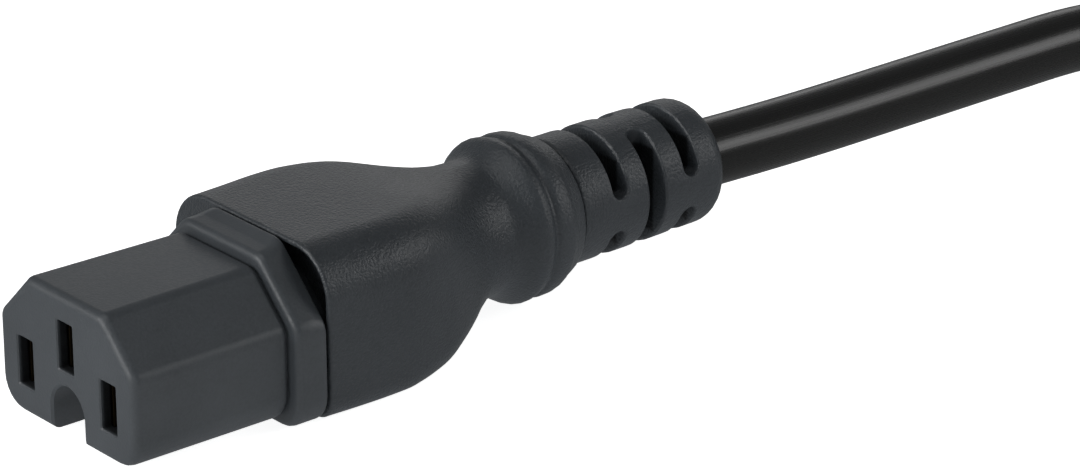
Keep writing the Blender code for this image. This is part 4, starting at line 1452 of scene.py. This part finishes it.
@dataclass
class Studio:
    """The camera at the photograph's angle, a white floor and soft light."""

    eye: tuple[float, float, float] = (370.470, -289.787, 211.648)
    right: tuple[float, float, float] = (0.64273, 0.76608, -0.00444)
    above: tuple[float, float, float] = (-0.29753, 0.25496, 0.92004)
    behind: tuple[float, float, float] = (0.70595, -0.59002, 0.39181)
    lens: float = 166.667
    sensor: float = 36.0
    below: float = 0.21
    overhead: float = 0.135
    ramp: float = 0.12
    floor_reach: float = 4000.0
    # Each softbox: its name, place, target and size in metres, and its watts
    softboxes: tuple = (
        ("key", (0.62, 0.72, 0.42), (0.0, 0.02, 0.0), (0.50, 0.36), 1.75),
        ("low_left", (-0.78, 0.74, 0.31), (0.0, 0.02, 0.0), (0.9, 0.28), 0.9),
        ("front", (-0.25, -0.95, 0.42), (0.0, 0.0, 0.0), (1.0, 0.5), 7.7),
        ("overhead", (-0.10, -0.25, 1.1), (0.0, 0.0, 0.0), (0.8, 0.6), 2.0),
    )

    def camera(self) -> None:
        """Places the camera by its eye and the three directions of its frame."""
        data = bpy.data.cameras.new("camera")
        data.lens = self.lens
        data.sensor_width = self.sensor
        data.clip_start = 0.01
        camera = bpy.data.objects.new("camera", data)
        bpy.context.scene.collection.objects.link(camera)
        turn = np.eye(4)
        turn[:3, 0], turn[:3, 1], turn[:3, 2] = self.right, self.above, self.behind
        turn[:3, 3] = np.array(self.eye) * MM
        camera.matrix_world = Matrix(turn.tolist())
        bpy.context.scene.camera = camera

    def floor(self) -> None:
        """A wide white floor that stays white under the object."""
        corners = np.array([[-1, -1, 0], [1, -1, 0], [1, 1, 0], [-1, 1, 0]]) * self.floor_reach
        obj = add_mesh("floor", corners, [(0, 1, 2, 3)])
        coat = Coat("floor_finish", (0.90, 0.90, 0.90), 0.9)
        coat.set(Emission_Color=(1.0, 1.0, 1.0, 1.0), Emission_Strength=0.9, Specular_IOR_Level=0.0)
        obj.data.materials.append(coat.material)
        obj.visible_glossy = False

    def softbox(self, name: str, place: tuple, target: tuple, size: tuple, watts: float) -> None:
        """A rectangular area light that looks from a place at a target, in metres."""
        data = bpy.data.lights.new(name, "AREA")
        data.shape = "RECTANGLE"
        data.size, data.size_y = size
        data.energy = watts
        light = bpy.data.objects.new(name, data)
        bpy.context.scene.collection.objects.link(light)
        back = unit(np.array(place) - np.array(target))
        side = unit(np.cross([0.0, 0.0, 1.0], back))
        turn = np.eye(4)
        turn[:3, 0], turn[:3, 1], turn[:3, 2] = side, np.cross(back, side), back
        turn[:3, 3] = place
        light.matrix_world = Matrix(turn.tolist())

    def surround(self) -> None:
        """A dim surround, brighter below the horizon, where a white floor would be mirrored."""
        world = bpy.data.worlds.new("surround")
        world.use_nodes = True
        tree = world.node_tree
        coordinate = tree.nodes.new("ShaderNodeTexCoord")
        parts = tree.nodes.new("ShaderNodeSeparateXYZ")
        tree.links.new(coordinate.outputs["Generated"], parts.inputs[0])
        height = Value(tree, parts.outputs["Z"])
        strength = self.below + (self.overhead - self.below) * height.over(0.0, self.ramp)
        background = tree.nodes["Background"]
        background.inputs["Color"].default_value = (0.96, 0.98, 1.0, 1.0)
        tree.links.new(strength.socket, background.inputs["Strength"])
        bpy.context.scene.world = world

    def light(self) -> None:
        """The surround, two softboxes behind, a broad one in front and one overhead."""
        bpy.context.scene.view_settings.view_transform = "Standard"
        self.surround()
        for softbox in self.softboxes:
            self.softbox(*softbox)


def main() -> None:
    """Builds the studio, then the cord with its plug, then the connector."""
    logging.basicConfig(level=logging.INFO, format="%(name)s %(message)s")
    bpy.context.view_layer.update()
    studio = Studio()
    studio.camera()
    studio.floor()
    studio.light()
    pieces = Plug().build(PLUG_FINISH.material(), NICKEL_FINISH.material())
    pieces += HankTie().build(WovenStrap().material())
    Cord().build(CordSheath().material(), pieces)
    ContactInsert().build(INSERT_FINISH.material(), SHADED_BRASS_FINISH.material())
    Overmould().build(GRIP_FINISH.material())


if __name__ == "__main__":
    main()
